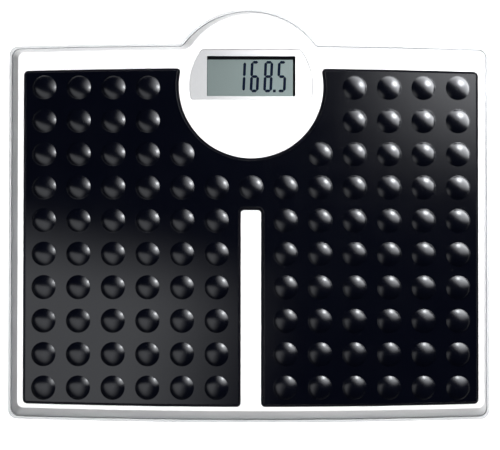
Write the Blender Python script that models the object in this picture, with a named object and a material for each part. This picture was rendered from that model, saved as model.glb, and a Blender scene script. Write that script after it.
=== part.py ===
"""Bathroom scale: a flat electronic platform scale with a domed rubber mat and a display pod at its rear.

Metres, +Z up, +Y towards the rear. The origin is the middle of the footprint, on the floor.
"""

import math

import bmesh
import bpy
from mathutils import Matrix, Vector

# Whole object
BODY_WIDTH = 0.433
BODY_DEPTH = 0.373
BODY_HEIGHT = 0.047
FIT_GAP = 0.0003
CUT_OVERRUN = 0.003
SMOOTH_ANGLE = math.radians(35)

# Outline of the body: bowed front and rear edges, and a round pod past the rear edge
POD_REACH = 0.0311
EDGE_BOW = 0.0035
CORNER_RADIUS = 0.008
RIM_CORNER_RADIUS = 0.0055
POD_RADIUS = 0.0764
POD_FILLET = 0.003
RIM_POD_FILLET = 0.0124
BOW_STEPS = 5
CORNER_STEPS = 4
REAR_STEPS = 2
POD_STEPS = 16

# Cover
RIM_HEIGHT = 0.0405
RIM_INSET = 0.0130
RIM_EDGE = 0.0011
SEAM_INSET = 0.0025
SEAM_HEIGHT = 0.0175
COVER_WALL = 0.0025
DECK_THICKNESS = 0.0035

# Base tray
TRAY_BOTTOM = 0.0080
TRAY_FLOOR = 0.0022
TRAY_LIP = 0.0022
TRAY_LIP_EDGE = 0.0004
TRAY_TURN = 0.0040
TRAY_TURN_SHARES = ((0, 1), (1 / 8, 1 / 2), (1 / 2, 1 / 8), (1, 0))
RIB_WALL = 0.0020
RIB_SIDE_MARGIN = 0.0325
RIB_FRONT_MARGIN = 0.0285
RIB_REAR_MARGIN = 0.0354
RIB_TO_FOOT = 0.040
RIB_TO_BAY = 0.045
LONG_RIB_X = 0.110
INNER_RIB_X = 0.060

# Rubber mat and its domes
MAT_SIDE_MARGIN = 0.0185
MAT_FRONT_MARGIN = 0.0171
MAT_REAR_MARGIN = 0.0298
MAT_CORNER_RADIUS = 0.0038
MAT_THICKNESS = 0.0027
MAT_RECESS = 0.0010
MAT_FLANGE = 0.0012
MAT_STEP = 0.0005
MAT_EDGE = 0.0004
DISC_RADIUS = 0.0632
DISC_CORNER_RADIUS = 0.0030
SLOT_WIDTH = 0.018
SLOT_END_Y = 0.002
SLOT_CORNER_RADIUS = 0.0032
SLOT_MOUTH_RADIUS = 0.0034
DISC_STEPS = 18
DOME_RADIUS = 0.0105
DOME_PITCH_X = 0.030
DOME_PITCH_Y = 0.029
DOME_SIDE_MARGIN = 0.0160
DOME_FRONT_MARGIN = 0.0143
DOME_REAR_MARGIN = 0.0173
DOME_CLEARANCE = 0.003
DOME_ROOT = 0.0008
DOME_SIDES = 12

# Stiffener plate
PLATE_THICKNESS = 0.0012
PLATE_SIDE_MARGIN = 0.0325
PLATE_FRONT_MARGIN = 0.0305
PLATE_REAR_MARGIN = 0.0334
PLATE_CORNER_RADIUS = 0.006
PLATE_DISC_RADIUS = 0.069

# Display: window mask, lens, liquid crystal panel and its frame
WINDOW_RADIUS = 0.0536
WINDOW_TO_FRONT = 0.0115
WINDOW_TO_REAR = 0.0320
WINDOW_CORNER_RADIUS = 0.0020
WINDOW_STEPS = 8
MASK_SEAT_DEPTH = 0.0020
MASK_THICKNESS = 0.0013
READOUT_WIDTH = 0.0772
READOUT_FRONT_MARGIN = 0.0028
READOUT_REAR_MARGIN = 0.0056
READOUT_CORNER_RADIUS = 0.0009
LENS_MARGIN = 0.0016
PANEL_MARGIN = 0.0034
PANEL_THICKNESS = 0.0024
FRAME_WALL = 0.0025
FRAME_LEDGE = 0.0030
STRIP_SIDE_MARGIN = 0.0026
STRIP_THICKNESS = 0.0022

# Display board and what is on it
BOARD_SIDE_MARGIN = 0.0149
BOARD_FRONT_MARGIN = 0.0104
BOARD_REAR_MARGIN = 0.0055
BOARD_THICKNESS = 0.0016
BOARD_TOP = 0.0300
CHIP_SIZE = 0.012
CHIP_THICKNESS = 0.0018
CAPACITOR_RADIUS = 0.0040
CAPACITOR_LENGTH = 0.0090
CAPACITOR_X = -0.030
SENSOR_RADIUS = 0.0016
SENSOR_LENGTH = 0.0090
SENSOR_X = 0.026
CAN_TO_CHIP = 0.006

# Screws and the bosses that take them
CASE_SCREW_MARGIN = 0.0245
CASE_SCREW_REAR_MARGIN = 0.0274
CASE_SCREW_POD_MARGIN = 0.0205
CASE_HEAD_RADIUS = 0.0035
CASE_HEAD_THICKNESS = 0.0019
CASE_SHANK_RADIUS = 0.0014
CASE_SCREW_LENGTH = 0.0150
CASE_SCREW_SINK = 0.0026
CASE_BOSS_RADIUS = 0.0045
TRAY_BOSS_RADIUS = 0.0058
TRAY_BOSS_TOP = 0.0152
BOARD_SCREW_SIDE_MARGIN = 0.0035
BOARD_SCREW_FRONT_MARGIN = 0.0060
BOARD_SCREW_REAR_MARGIN = 0.0070
BOARD_HEAD_RADIUS = 0.0024
BOARD_HEAD_THICKNESS = 0.0015
BOARD_SHANK_RADIUS = 0.0009
BOARD_SCREW_LENGTH = 0.0070
BOARD_BOSS_RADIUS = 0.0030
CROSS_SLOT_WIDTH = 0.0007
CROSS_SLOT_DEPTH = 0.0006
CROSS_SLOT_SHARE = 0.55
HEAD_FACE_SHARE = 0.8
HEAD_SIDE_SHARE = 0.6
SCREW_SIDES = 8
BOSS_SIDES = 12

# Feet and load cells
FOOT_MARGIN = 0.0515
FOOT_REAR_MARGIN = 0.0504
PAD_RADIUS = 0.0150
PAD_THICKNESS = 0.0026
PAD_EDGE = 0.0006
CUP_RADIUS = 0.0180
CUP_BOTTOM = 0.0014
CUP_FLANGE = 0.0025
CUP_FLANGE_THICKNESS = 0.0019
CUP_TIP_RADIUS = 0.0060
CUP_TIP_HEIGHT = 0.0003
CUP_CLEARANCE = 0.0006
FOOT_TRAVEL = 0.00025
CELL_SIZE = 0.030
CELL_THICKNESS = 0.0025
CELL_CHAMFER = 0.0030
CELL_TONGUE_WIDTH = 0.010
CELL_TONGUE_LENGTH = 0.018
CELL_SLIT = 0.0020
CARRIER_RADIUS = 0.0237
CARRIER_SKIRT = 0.0040
CARRIER_DEPTH = 0.0063
CARRIER_HUB_RADIUS = 0.0130
CARRIER_HUB_WALL = 0.0040
CARRIER_RELIEF_RADIUS = 0.0070
CARRIER_RELIEF_DEPTH = 0.0017
POCKET_WALL = 0.0020
POCKET_TOP = 0.0200
LEDGE_GAP = 0.0007
ROUND_SIDES = 24

# Cables
CABLE_RADIUS = 0.0011
LEAD_RADIUS = 0.0009
CABLE_NOTCH_WIDTH = 0.0044
CABLE_NOTCH_HEIGHT = 0.0045
NOTCH_SILL = 0.0001
CABLE_STEPS = 2
FRONT_CABLE_X = 0.127
FRONT_CABLE_TURN_Y = 0.066
LEAD_X = 0.019

# Battery bay, door and cells
CELL_COUNT = 4
BATTERY_RADIUS = 0.0071
BATTERY_LENGTH = 0.0490
BATTERY_NUB_RADIUS = 0.0027
BATTERY_NUB_HEIGHT = 0.0012
BATTERY_PITCH = 0.0150
BATTERY_EDGE = 0.0006
BATTERY_SIDES = 12
BAY_SIDE_PLAY = 0.0017
BAY_HALF_LENGTH = 0.0282
BAY_WALL = 0.0020
DOOR_THICKNESS = 0.0019
DOOR_SIDE_STEP = 0.0012
HINGE_OFFSET = 0.0028
HINGE_RADIUS = 0.0022
HINGE_PIN_RADIUS = 0.0010
HINGE_PIN_LENGTH = 0.0040
HINGE_SIDES = 12
HINGE_BLOCK_WALL = 0.0025
LATCH_OVERHANG = 0.0033
LATCH_WIDTH = 0.014
LATCH_THICKNESS = 0.0014
LATCH_HEIGHT = 0.0020
FINGER_RECESS_LENGTH = 0.0060
FINGER_RECESS_DEPTH = 0.0012
CONTACT_THICKNESS = 0.0004
CONTACT_WIDTH = 0.0100
CONTACT_HEIGHT = 0.0100
CONTACT_BUMP_RADIUS = 0.0025
CONTACT_BUMP_TIP_RADIUS = 0.0018
CONTACT_BUMP_HEIGHT = 0.0006
CONTACT_SPRING_RADIUS = 0.0045
CONTACT_SPRING_TIP_RADIUS = 0.0030

# Unit switch on the underside
SWITCH_X = 0.085
SWITCH_Y = -0.005
SWITCH_TRAVEL = 0.0040
SWITCH_HALF_LENGTH = 0.0080
SWITCH_WIDTH = 0.0070
SWITCH_HEIGHT = 0.0060
SWITCH_POST = 0.0020
KNOB_LENGTH = 0.0040
KNOB_WIDTH = 0.0032
KNOB_SINK = 0.0004
KNOB_FLANGE = 0.0010
KNOB_FLANGE_THICKNESS = 0.0007
KNOB_STEM = 0.0016
KNOB_STEM_HEIGHT = 0.0020
SWITCH_RECESS_MARGIN = 0.0012
SWITCH_RECESS_DEPTH = 0.0009

# Rating plate, left bare
RATING_WIDTH = 0.070
RATING_DEPTH = 0.036
RATING_THICKNESS = 0.0004
RATING_RECESS = 0.0005
RATING_MARGIN = 0.0435
RATING_CORNER = 0.0020

# Places worked out from the sizes above
FRONT_Y = -BODY_DEPTH / 2
POD_Y = BODY_DEPTH / 2 - POD_RADIUS
REAR_Y = BODY_DEPTH / 2 - POD_REACH
HALF_WIDTH = BODY_WIDTH / 2
BOW_RADIUS = (HALF_WIDTH**2 + EDGE_BOW**2) / (2 * EDGE_BOW)
FLOOR_TOP = TRAY_BOTTOM + TRAY_FLOOR
CEILING = RIM_HEIGHT - DECK_THICKNESS
PLATE_TOP = CEILING - FIT_GAP
PLATE_BOTTOM = PLATE_TOP - PLATE_THICKNESS
SUPPORT_TOP = PLATE_BOTTOM - FIT_GAP
MAT_BOTTOM = RIM_HEIGHT - MAT_RECESS + FIT_GAP
MAT_TOP = MAT_BOTTOM + MAT_THICKNESS
MAT_HALF_WIDTH = HALF_WIDTH - MAT_SIDE_MARGIN
MAT_REAR_Y = REAR_Y - MAT_REAR_MARGIN
DOME_HEIGHT = BODY_HEIGHT - MAT_TOP
DOME_REAR_Y = MAT_REAR_Y - DOME_REAR_MARGIN
DOME_FRONT_Y = FRONT_Y + MAT_FRONT_MARGIN + DOME_FRONT_MARGIN
DOME_ROWS = int((DOME_REAR_Y - DOME_FRONT_Y) / DOME_PITCH_Y) + 1
DOME_COLUMNS = int(2 * (MAT_HALF_WIDTH - DOME_SIDE_MARGIN) / DOME_PITCH_X) + 1
PLATE_FRONT_Y = FRONT_Y + PLATE_FRONT_MARGIN
WINDOW_FRONT_Y = POD_Y - WINDOW_TO_FRONT
WINDOW_REAR_Y = POD_Y + WINDOW_TO_REAR
READOUT_FRONT_Y = WINDOW_FRONT_Y + READOUT_FRONT_MARGIN
READOUT_REAR_Y = WINDOW_REAR_Y - READOUT_REAR_MARGIN
MASK_BOTTOM = RIM_HEIGHT - MASK_SEAT_DEPTH + FIT_GAP
PANEL_TOP = CEILING - FIT_GAP
PANEL_BOTTOM = PANEL_TOP - PANEL_THICKNESS
BOARD_BOTTOM = BOARD_TOP - BOARD_THICKNESS
ON_BOARD = BOARD_BOTTOM - FIT_GAP
BOARD_HALF_WIDTH = READOUT_WIDTH / 2 + BOARD_SIDE_MARGIN
BOARD_FRONT_Y = READOUT_FRONT_Y - BOARD_FRONT_MARGIN
BOARD_REAR_Y = READOUT_REAR_Y + BOARD_REAR_MARGIN
READOUT_Y = (READOUT_FRONT_Y + READOUT_REAR_Y) / 2
READOUT_DEPTH = READOUT_REAR_Y - READOUT_FRONT_Y
FOOT_X = HALF_WIDTH - FOOT_MARGIN
FOOT_FRONT_Y = FRONT_Y + FOOT_MARGIN
FOOT_REAR_Y = REAR_Y - FOOT_REAR_MARGIN
CROSS_RIBS_Y = (FOOT_FRONT_Y + RIB_TO_FOOT, -RIB_TO_BAY, RIB_TO_BAY)
CUP_TOP = FLOOR_TOP + FIT_GAP + CUP_FLANGE_THICKNESS
CELL_BOTTOM = CUP_TOP + CUP_TIP_HEIGHT + FIT_GAP
CELL_TOP = CELL_BOTTOM + CELL_THICKNESS
CARRIER_BOTTOM = CUP_TOP + FOOT_TRAVEL + CUP_CLEARANCE
CARRIER_SEAT = CELL_TOP + FIT_GAP
DOOR_TOP = TRAY_BOTTOM + DOOR_THICKNESS
BATTERY_Z = DOOR_TOP + FIT_GAP + BATTERY_RADIUS
BAY_TOP = BATTERY_Z + BATTERY_RADIUS + FIT_GAP
BAY_HALF_WIDTH = CELL_COUNT * BATTERY_PITCH / 2 + BAY_SIDE_PLAY / 2
DOOR_HALF_WIDTH = BAY_HALF_WIDTH + DOOR_SIDE_STEP
HINGE_Y = -BAY_HALF_LENGTH - HINGE_OFFSET
HINGE_Z = TRAY_BOTTOM + HINGE_RADIUS
DOOR_END_Y = BAY_HALF_LENGTH + LATCH_OVERHANG
CONTACT_FACE = BAY_HALF_LENGTH - FIT_GAP - CONTACT_THICKNESS
NUB_END = CONTACT_FACE - CONTACT_BUMP_HEIGHT - FIT_GAP
BATTERY_BASE = BATTERY_LENGTH + BATTERY_NUB_HEIGHT - NUB_END
CABLE_Z = FLOOR_TOP + FIT_GAP + CABLE_RADIUS
SWITCH_BOTTOM = FLOOR_TOP + KNOB_FLANGE_THICKNESS + 3 * FIT_GAP
LEAD_Z = FLOOR_TOP + FIT_GAP + LEAD_RADIUS
CELL_EXIT_Z = (CELL_BOTTOM + CELL_TOP) / 2
CELL_EXIT_X = FOOT_X - CELL_SIZE / 2 - FIT_GAP
LEAD_EXIT_X = BATTERY_PITCH * (CELL_COUNT - 1) / 2

CASE_SCREW_X = HALF_WIDTH - CASE_SCREW_MARGIN
CASE_SCREW_PLACES = (
    (-CASE_SCREW_X, FRONT_Y + CASE_SCREW_MARGIN),
    (0, FRONT_Y + CASE_SCREW_MARGIN),
    (CASE_SCREW_X, FRONT_Y + CASE_SCREW_MARGIN),
    (-CASE_SCREW_X, REAR_Y - CASE_SCREW_REAR_MARGIN),
    (0, BODY_DEPTH / 2 - CASE_SCREW_POD_MARGIN),
    (CASE_SCREW_X, REAR_Y - CASE_SCREW_REAR_MARGIN),
)
BOARD_SCREW_X = BOARD_HALF_WIDTH - BOARD_SCREW_SIDE_MARGIN
BOARD_SCREW_FRONT_Y = BOARD_FRONT_Y + BOARD_SCREW_FRONT_MARGIN
BOARD_SCREW_REAR_Y = BOARD_REAR_Y - BOARD_SCREW_REAR_MARGIN
BOARD_SCREW_PLACES = (
    (-BOARD_SCREW_X, BOARD_SCREW_FRONT_Y),
    (BOARD_SCREW_X, BOARD_SCREW_FRONT_Y),
    (-BOARD_SCREW_X, BOARD_SCREW_REAR_Y),
    (BOARD_SCREW_X, BOARD_SCREW_REAR_Y),
)
FOOT_PLACES = {
    "front_left": (-FOOT_X, FOOT_FRONT_Y),
    "front_right": (FOOT_X, FOOT_FRONT_Y),
    "rear_left": (-FOOT_X, FOOT_REAR_Y),
    "rear_right": (FOOT_X, FOOT_REAR_Y),
}

# Routes of the cables at the right: from a load cell, or the battery bay, along the tray's floor to the board
FRONT_ROUTE = (
    (CELL_EXIT_X, FOOT_FRONT_Y, CELL_EXIT_Z),
    (0.1395, FOOT_FRONT_Y, CELL_EXIT_Z),
    (0.1330, -0.1335, 0.0124),
    (0.1280, -0.1250, CABLE_Z),
    (FRONT_CABLE_X, -0.1100, CABLE_Z),
    (FRONT_CABLE_X, -0.0350, CABLE_Z),
    (FRONT_CABLE_X, 0.0500, CABLE_Z),
    (0.1225, 0.0630, CABLE_Z),
    (0.1100, FRONT_CABLE_TURN_Y, CABLE_Z),
    (0.0700, 0.0700, CABLE_Z),
    (0.0400, 0.0860, CABLE_Z),
    (0.0285, 0.0950, 0.0134),
    (0.0235, 0.0990, 0.0190),
    (0.0225, 0.1000, ON_BOARD),
)
REAR_ROUTE = (
    (CELL_EXIT_X, FOOT_REAR_Y, CELL_EXIT_Z),
    (0.1395, FOOT_REAR_Y, CELL_EXIT_Z),
    (0.1325, FOOT_REAR_Y, 0.0124),
    (0.1240, FOOT_REAR_Y, CABLE_Z),
    (0.0900, FOOT_REAR_Y, CABLE_Z),
    (0.0520, 0.1070, CABLE_Z),
    (0.0435, 0.1090, 0.0134),
    (0.0395, 0.1095, 0.0190),
    (0.0385, 0.1100, ON_BOARD),
)
LEAD_ROUTE = (
    (LEAD_EXIT_X, BAY_HALF_LENGTH, BATTERY_Z),
    (LEAD_EXIT_X, BAY_HALF_LENGTH + BAY_WALL, BATTERY_Z),
    (LEAD_EXIT_X, 0.0342, 0.0155),
    (0.0205, 0.0375, 0.0128),
    (LEAD_X, 0.0440, LEAD_Z),
    (0.0170, 0.0700, LEAD_Z),
    (0.0115, 0.0900, LEAD_Z),
    (0.0095, 0.0970, 0.0130),
    (0.0090, 0.0995, 0.0190),
    (0.0090, 0.1000, ON_BOARD),
)


def clear_scene():
    """Removes what the scene starts with."""
    for obj in list(bpy.data.objects):
        bpy.data.objects.remove(obj, do_unlink=True)


def finish(name, colour, roughness, metallic=0.0, alpha=1.0):
    """A Principled material with one colour."""
    material = bpy.data.materials.new(name)
    material.use_nodes = True
    shader = material.node_tree.nodes["Principled BSDF"]
    shader.inputs["Base Color"].default_value = (*colour, 1.0)
    shader.inputs["Roughness"].default_value = roughness
    shader.inputs["Metallic"].default_value = metallic
    shader.inputs["Alpha"].default_value = alpha
    material.diffuse_color = (*colour, alpha)
    return material


def mesh_of(name, bm, material=None):
    """Turns a bmesh into a mesh with its faces out, shaded smooth between its sharp edges."""
    bmesh.ops.recalc_face_normals(bm, faces=bm.faces)
    mesh = bpy.data.meshes.new(name)
    bm.to_mesh(mesh)
    bm.free()
    mesh.shade_smooth()
    mesh.set_sharp_from_angle(angle=SMOOTH_ANGLE)
    if material:
        mesh.materials.append(material)
    return mesh


def place(name, mesh, location=(0, 0, 0), turn=0.0):
    """Puts a mesh in the scene as an object of its own, turned about Z."""
    obj = bpy.data.objects.new(name, mesh)
    obj.location = location
    obj.rotation_euler.z = turn
    bpy.context.collection.objects.link(obj)
    return obj


def combine(obj, operation, bm, overlapping=False):
    """Adds shapes to an object, or cuts them from it, with a Boolean modifier and a hidden helper."""
    helper = place(obj.name + "_" + operation.lower(), mesh_of(obj.name, bm), obj.location)
    helper.hide_render = True
    helper.display_type = "WIRE"
    modifier = obj.modifiers.new(helper.name, "BOOLEAN")
    modifier.operation = operation
    modifier.object = helper
    modifier.use_self = overlapping


def settled_mesh(obj):
    """The object's mesh with its modifiers applied, for pieces that share it; the object itself goes."""
    graph = bpy.context.evaluated_depsgraph_get()
    mesh = bpy.data.meshes.new_from_object(obj.evaluated_get(graph))
    for modifier in list(obj.modifiers):
        bpy.data.objects.remove(modifier.object, do_unlink=True)
    bpy.data.objects.remove(obj, do_unlink=True)
    return mesh


def loft(bm, rings):
    """Joins rings of equally many points into one closed body, capped at both ends."""
    loops = [[bm.verts.new(point) for point in ring] for ring in rings]
    for low, high in zip(loops, loops[1:]):
        for i in range(len(low)):
            bm.faces.new((low[i - 1], low[i], high[i], high[i - 1]))
    bm.faces.new(loops[0])
    bm.faces.new(loops[-1])
    return bm


def raised(outline, z):
    """The outline's points at one height."""
    return [Vector((x, y, z)) for x, y in outline]


def prism(bm, outline, bottom, top):
    """An upright body with one outline."""
    return loft(bm, (raised(outline, bottom), raised(outline, top)))


def block(bm, low, high):
    """A box between two corners."""
    low, high = Vector(low), Vector(high)
    scale = Matrix.Diagonal((*(high - low), 1))
    bmesh.ops.create_cube(bm, size=1, matrix=Matrix.Translation((low + high) / 2) @ scale)
    return bm


def turned(bm, profile, centre=(0, 0, 0), sides=ROUND_SIDES, axis=(0, 0, 1)):
    """Turns a profile of (radius, height) points, from end to end, about an axis through the centre."""
    angles = [2 * math.pi * i / sides for i in range(sides)]
    loops = []
    for radius, height in profile:
        if radius:
            loops.append([bm.verts.new((radius * math.cos(a), radius * math.sin(a), height)) for a in angles])
        else:
            loops.append([bm.verts.new((0, 0, height))] * sides)
    for low, high in zip(loops, loops[1:]):
        for i in range(sides):
            corners = (low[i - 1], low[i], high[i], high[i - 1])
            bm.faces.new(tuple(dict.fromkeys(corners)))
    for end in (loops[0], loops[-1]):
        if end[0] is not end[1]:
            bm.faces.new(end)
    turn = Vector((0, 0, 1)).rotation_difference(Vector(axis)).to_matrix().to_4x4()
    made = list(dict.fromkeys(vert for loop in loops for vert in loop))
    bmesh.ops.transform(bm, matrix=Matrix.Translation(centre) @ turn, verts=made)
    return bm


def cylinder(bm, radius, bottom, top, centre=(0, 0), sides=ROUND_SIDES):
    """An upright cylinder."""
    return turned(bm, ((radius, bottom), (radius, top)), (*centre, 0), sides)


def arc(centre, radius, start, end, steps):
    """Points from one angle to another about a centre, both ends included."""
    angles = [start + (end - start) * i / steps for i in range(steps + 1)]
    return [(centre[0] + radius * math.cos(a), centre[1] + radius * math.sin(a)) for a in angles]


def angle_to(start, end):
    """The direction from one point to another, from 0 to a full turn."""
    return math.atan2(end[1] - start[1], end[0] - start[0]) % (2 * math.pi)


def circles_meet(low, low_radius, high, high_radius):
    """Where two circles on the Y axis meet, on the +X side."""
    apart = high[1] - low[1]
    y = (apart**2 + low_radius**2 - high_radius**2) / (2 * apart)
    return (math.sqrt(max(low_radius**2 - y**2, 0)), low[1] + y)


def mirrored(half):
    """A whole outline from its +X half, whose first and last points lie on the Y axis."""
    return half + [(-x, y) for x, y in half[-2:0:-1]]


def corner_on_bow(bow_y, bow_radius, half_width, radius, side):
    """The centre of a corner's arc between a bowed edge and a straight one; side is -1 in front, 1 behind."""
    x = half_width - radius
    return (x, bow_y + side * math.sqrt((bow_radius - radius) ** 2 - x**2))


def body_outline(inset):
    """The body's outline, drawn in by an inset, with the pod and its fillets."""
    share = min(inset / RIM_INSET, 1)
    corner = CORNER_RADIUS + (RIM_CORNER_RADIUS - CORNER_RADIUS) * share
    fillet = POD_FILLET + (RIM_POD_FILLET - POD_FILLET) * share
    half_width = HALF_WIDTH - inset
    bow = BOW_RADIUS - inset
    front_bow = (0, FRONT_Y + BOW_RADIUS)
    rear_bow = (0, REAR_Y - BOW_RADIUS)
    pod = (0, POD_Y)
    front_corner = corner_on_bow(front_bow[1], bow, half_width, corner, -1)
    rear_corner = corner_on_bow(rear_bow[1], bow, half_width, corner, 1)
    pod_radius = POD_RADIUS - inset
    neck = circles_meet(rear_bow, bow + fillet, pod, pod_radius + fillet)
    front_turn = angle_to(front_bow, front_corner)
    rear_turn = angle_to(rear_bow, rear_corner)
    half = arc(front_bow, bow, 1.5 * math.pi, front_turn, BOW_STEPS)[:-1]
    half += arc(front_corner, corner, front_turn, 2 * math.pi, CORNER_STEPS)
    half += arc(rear_corner, corner, 0, rear_turn, CORNER_STEPS)
    half += arc(rear_bow, bow, rear_turn, angle_to(rear_bow, neck), REAR_STEPS)[1:-1]
    half += arc(neck, fillet, angle_to(neck, rear_bow), angle_to(neck, pod), CORNER_STEPS)
    half += arc(pod, pod_radius, angle_to(pod, neck), math.pi / 2, POD_STEPS)[1:]
    return mirrored(half)


def deck_half(half_width, front, rear, corner, disc_radius, disc_corner):
    """The +X half of a flat piece with bowed edges and the display's round cut-out, from the front bow on."""
    front_bow, rear_bow, disc = (0, front + BOW_RADIUS), (0, rear - BOW_RADIUS), (0, POD_Y)
    front_corner = corner_on_bow(front_bow[1], BOW_RADIUS, half_width, corner, -1)
    rear_corner = corner_on_bow(rear_bow[1], BOW_RADIUS, half_width, corner, 1)
    disc_turn = circles_meet(rear_bow, BOW_RADIUS - disc_corner, disc, disc_radius + disc_corner)
    front_turn = angle_to(front_bow, front_corner)
    rear_turn = angle_to(rear_bow, rear_corner)
    half = arc(front_bow, BOW_RADIUS, 1.5 * math.pi, front_turn, BOW_STEPS)[1:-1]
    half += arc(front_corner, corner, front_turn, 2 * math.pi, CORNER_STEPS)
    half += arc(rear_corner, corner, 0, rear_turn, CORNER_STEPS)
    half += arc(rear_bow, BOW_RADIUS, rear_turn, angle_to(rear_bow, disc_turn), REAR_STEPS)[1:-1]
    bow_side, disc_side = angle_to(rear_bow, disc_turn), angle_to(disc_turn, disc)
    half += arc(disc_turn, disc_corner, bow_side, disc_side, CORNER_STEPS)
    half += arc(disc, disc_radius, angle_to(disc, disc_turn), -math.pi / 2, DISC_STEPS)[1:]
    return half


def mat_outline(grow):
    """The mat's outline, grown outwards: its round cut-out and its front slot shrink as it grows."""
    front = FRONT_Y + MAT_FRONT_MARGIN - grow
    rear = MAT_REAR_Y + grow
    corner = MAT_CORNER_RADIUS + grow
    disc_corner = DISC_CORNER_RADIUS + grow
    half = deck_half(MAT_HALF_WIDTH + grow, front, rear, corner, DISC_RADIUS - grow, disc_corner)
    slot_half = SLOT_WIDTH / 2 - grow
    inner = SLOT_CORNER_RADIUS - grow
    mouth = SLOT_MOUTH_RADIUS + grow
    end_corner = (slot_half - inner, SLOT_END_Y - grow - inner)
    front_bow = (0, front + BOW_RADIUS)
    mouth_corner = corner_on_bow(front_bow[1], BOW_RADIUS, slot_half + 2 * mouth, mouth, -1)
    slot = [(0, SLOT_END_Y - grow)]
    slot += arc(end_corner, inner, math.pi / 2, 0, CORNER_STEPS)
    slot += arc(mouth_corner, mouth, math.pi, angle_to(front_bow, mouth_corner), CORNER_STEPS)
    return mirrored(slot + half)


def plate_outline():
    """The stiffener plate's outline, clear of the display."""
    half = deck_half(
        HALF_WIDTH - PLATE_SIDE_MARGIN,
        PLATE_FRONT_Y,
        REAR_Y - PLATE_REAR_MARGIN,
        PLATE_CORNER_RADIUS,
        PLATE_DISC_RADIUS,
        PLATE_CORNER_RADIUS,
    )
    return mirrored([(0, PLATE_FRONT_Y)] + half)


def window_outline(grow):
    """The display window: a circle cut straight at its front and rear, with rounded corners."""
    radius, corner = WINDOW_RADIUS + grow, WINDOW_CORNER_RADIUS + grow
    centre = (0, POD_Y)
    corners = []
    for edge, side in ((WINDOW_FRONT_Y - grow, 1), (WINDOW_REAR_Y + grow, -1)):
        y = edge + side * corner
        corners.append((math.sqrt((radius - corner) ** 2 - (y - POD_Y) ** 2), y))
    front, rear = corners
    turn = 2 * math.pi
    half = [(0, WINDOW_FRONT_Y - grow)]
    half += arc(front, corner, 0.75 * turn, angle_to(centre, front), CORNER_STEPS)
    half += arc(centre, radius, angle_to(centre, front) - turn, angle_to(centre, rear), WINDOW_STEPS)[1:-1]
    half += arc(rear, corner, angle_to(centre, rear), turn / 4, CORNER_STEPS)
    return mirrored(half + [(0, WINDOW_REAR_Y + grow)])


def rounded_rectangle(half_x, front, rear, corner):
    """A rectangle across the Y axis, with rounded corners."""
    quarter = math.pi / 2
    half = [(0, front)]
    half += arc((half_x - corner, front + corner), corner, -quarter, 0, CORNER_STEPS)
    half += arc((half_x - corner, rear - corner), corner, 0, quarter, CORNER_STEPS)
    return mirrored(half + [(0, rear)])


def rating_outline(grow):
    """The outline of the rating plate, grown outwards for its recess."""
    front, rear = FRONT_Y + RATING_MARGIN, FRONT_Y + RATING_MARGIN + RATING_DEPTH
    return rounded_rectangle(RATING_WIDTH / 2 + grow, front - grow, rear + grow, RATING_CORNER)


def smooth_route(points):
    """Points along a smooth curve through a route's own points, with a few steps in each span."""
    route = [Vector(point) for point in points]
    route = [2 * route[0] - route[1], *route, 2 * route[-1] - route[-2]]
    made = []
    for a, b, c, d in zip(route, route[1:], route[2:], route[3:]):
        for i in range(CABLE_STEPS):
            t = i / CABLE_STEPS
            bend = 2 * b + (c - a) * t + (2 * a - 5 * b + 4 * c - d) * t**2
            made.append((bend + (3 * b - a - 3 * c + d) * t**3) / 2)
    return made + [route[-2]]


def cable(name, points, radius, material):
    """A round cable along a route."""
    route = smooth_route(points)
    curve = bpy.data.curves.new(name, "CURVE")
    curve.dimensions = "3D"
    curve.bevel_depth = radius
    curve.bevel_resolution = 1
    curve.use_fill_caps = True
    spline = curve.splines.new("POLY")
    spline.points.add(len(route) - 1)
    for point, co in zip(spline.points, route):
        point.co = (*co, 1)
    curve.materials.append(material)
    return place(name, curve)


def dome_places():
    """The centre of each dome: a grid, without those that the display or the slot would touch."""
    for row in range(DOME_ROWS):
        y = DOME_REAR_Y - row * DOME_PITCH_Y
        for column in range(DOME_COLUMNS):
            x = (column - (DOME_COLUMNS - 1) / 2) * DOME_PITCH_X
            off_disc = math.hypot(x, y - POD_Y) > DISC_RADIUS + DOME_RADIUS + DOME_CLEARANCE
            beside_slot = abs(x) > SLOT_WIDTH / 2 + DOME_RADIUS
            behind_slot = y > SLOT_END_Y + DOME_RADIUS
            if off_disc and (beside_slot or behind_slot):
                yield x, y


def make_mat(material):
    """The rubber mat: a flange flush with the rim, a raised plate and a grid of low domes."""
    levels = (
        (MAT_BOTTOM, 0),
        (RIM_HEIGHT, 0),
        (RIM_HEIGHT, MAT_FLANGE),
        (MAT_TOP - MAT_EDGE, MAT_FLANGE + MAT_STEP),
        (MAT_TOP, MAT_FLANGE + MAT_STEP + MAT_EDGE),
    )
    rings = [raised(mat_outline(-inset), z) for z, inset in levels]
    mat = place("grip_mat", mesh_of("grip_mat", loft(bmesh.new(), rings), material))
    bulge = (DOME_RADIUS**2 + DOME_HEIGHT**2) / (2 * DOME_HEIGHT)
    half_angle = math.asin(DOME_RADIUS / bulge) / 2
    shoulder = (bulge * math.sin(half_angle), MAT_TOP + DOME_HEIGHT - bulge * (1 - math.cos(half_angle)))
    profile = (
        (DOME_RADIUS, MAT_TOP - DOME_ROOT),
        (DOME_RADIUS, MAT_TOP),
        shoulder,
        (0, MAT_TOP + DOME_HEIGHT),
    )
    domes = bmesh.new()
    for x, y in dome_places():
        turned(domes, profile, (x, y, 0), DOME_SIDES)
    combine(mat, "UNION", domes)


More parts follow.
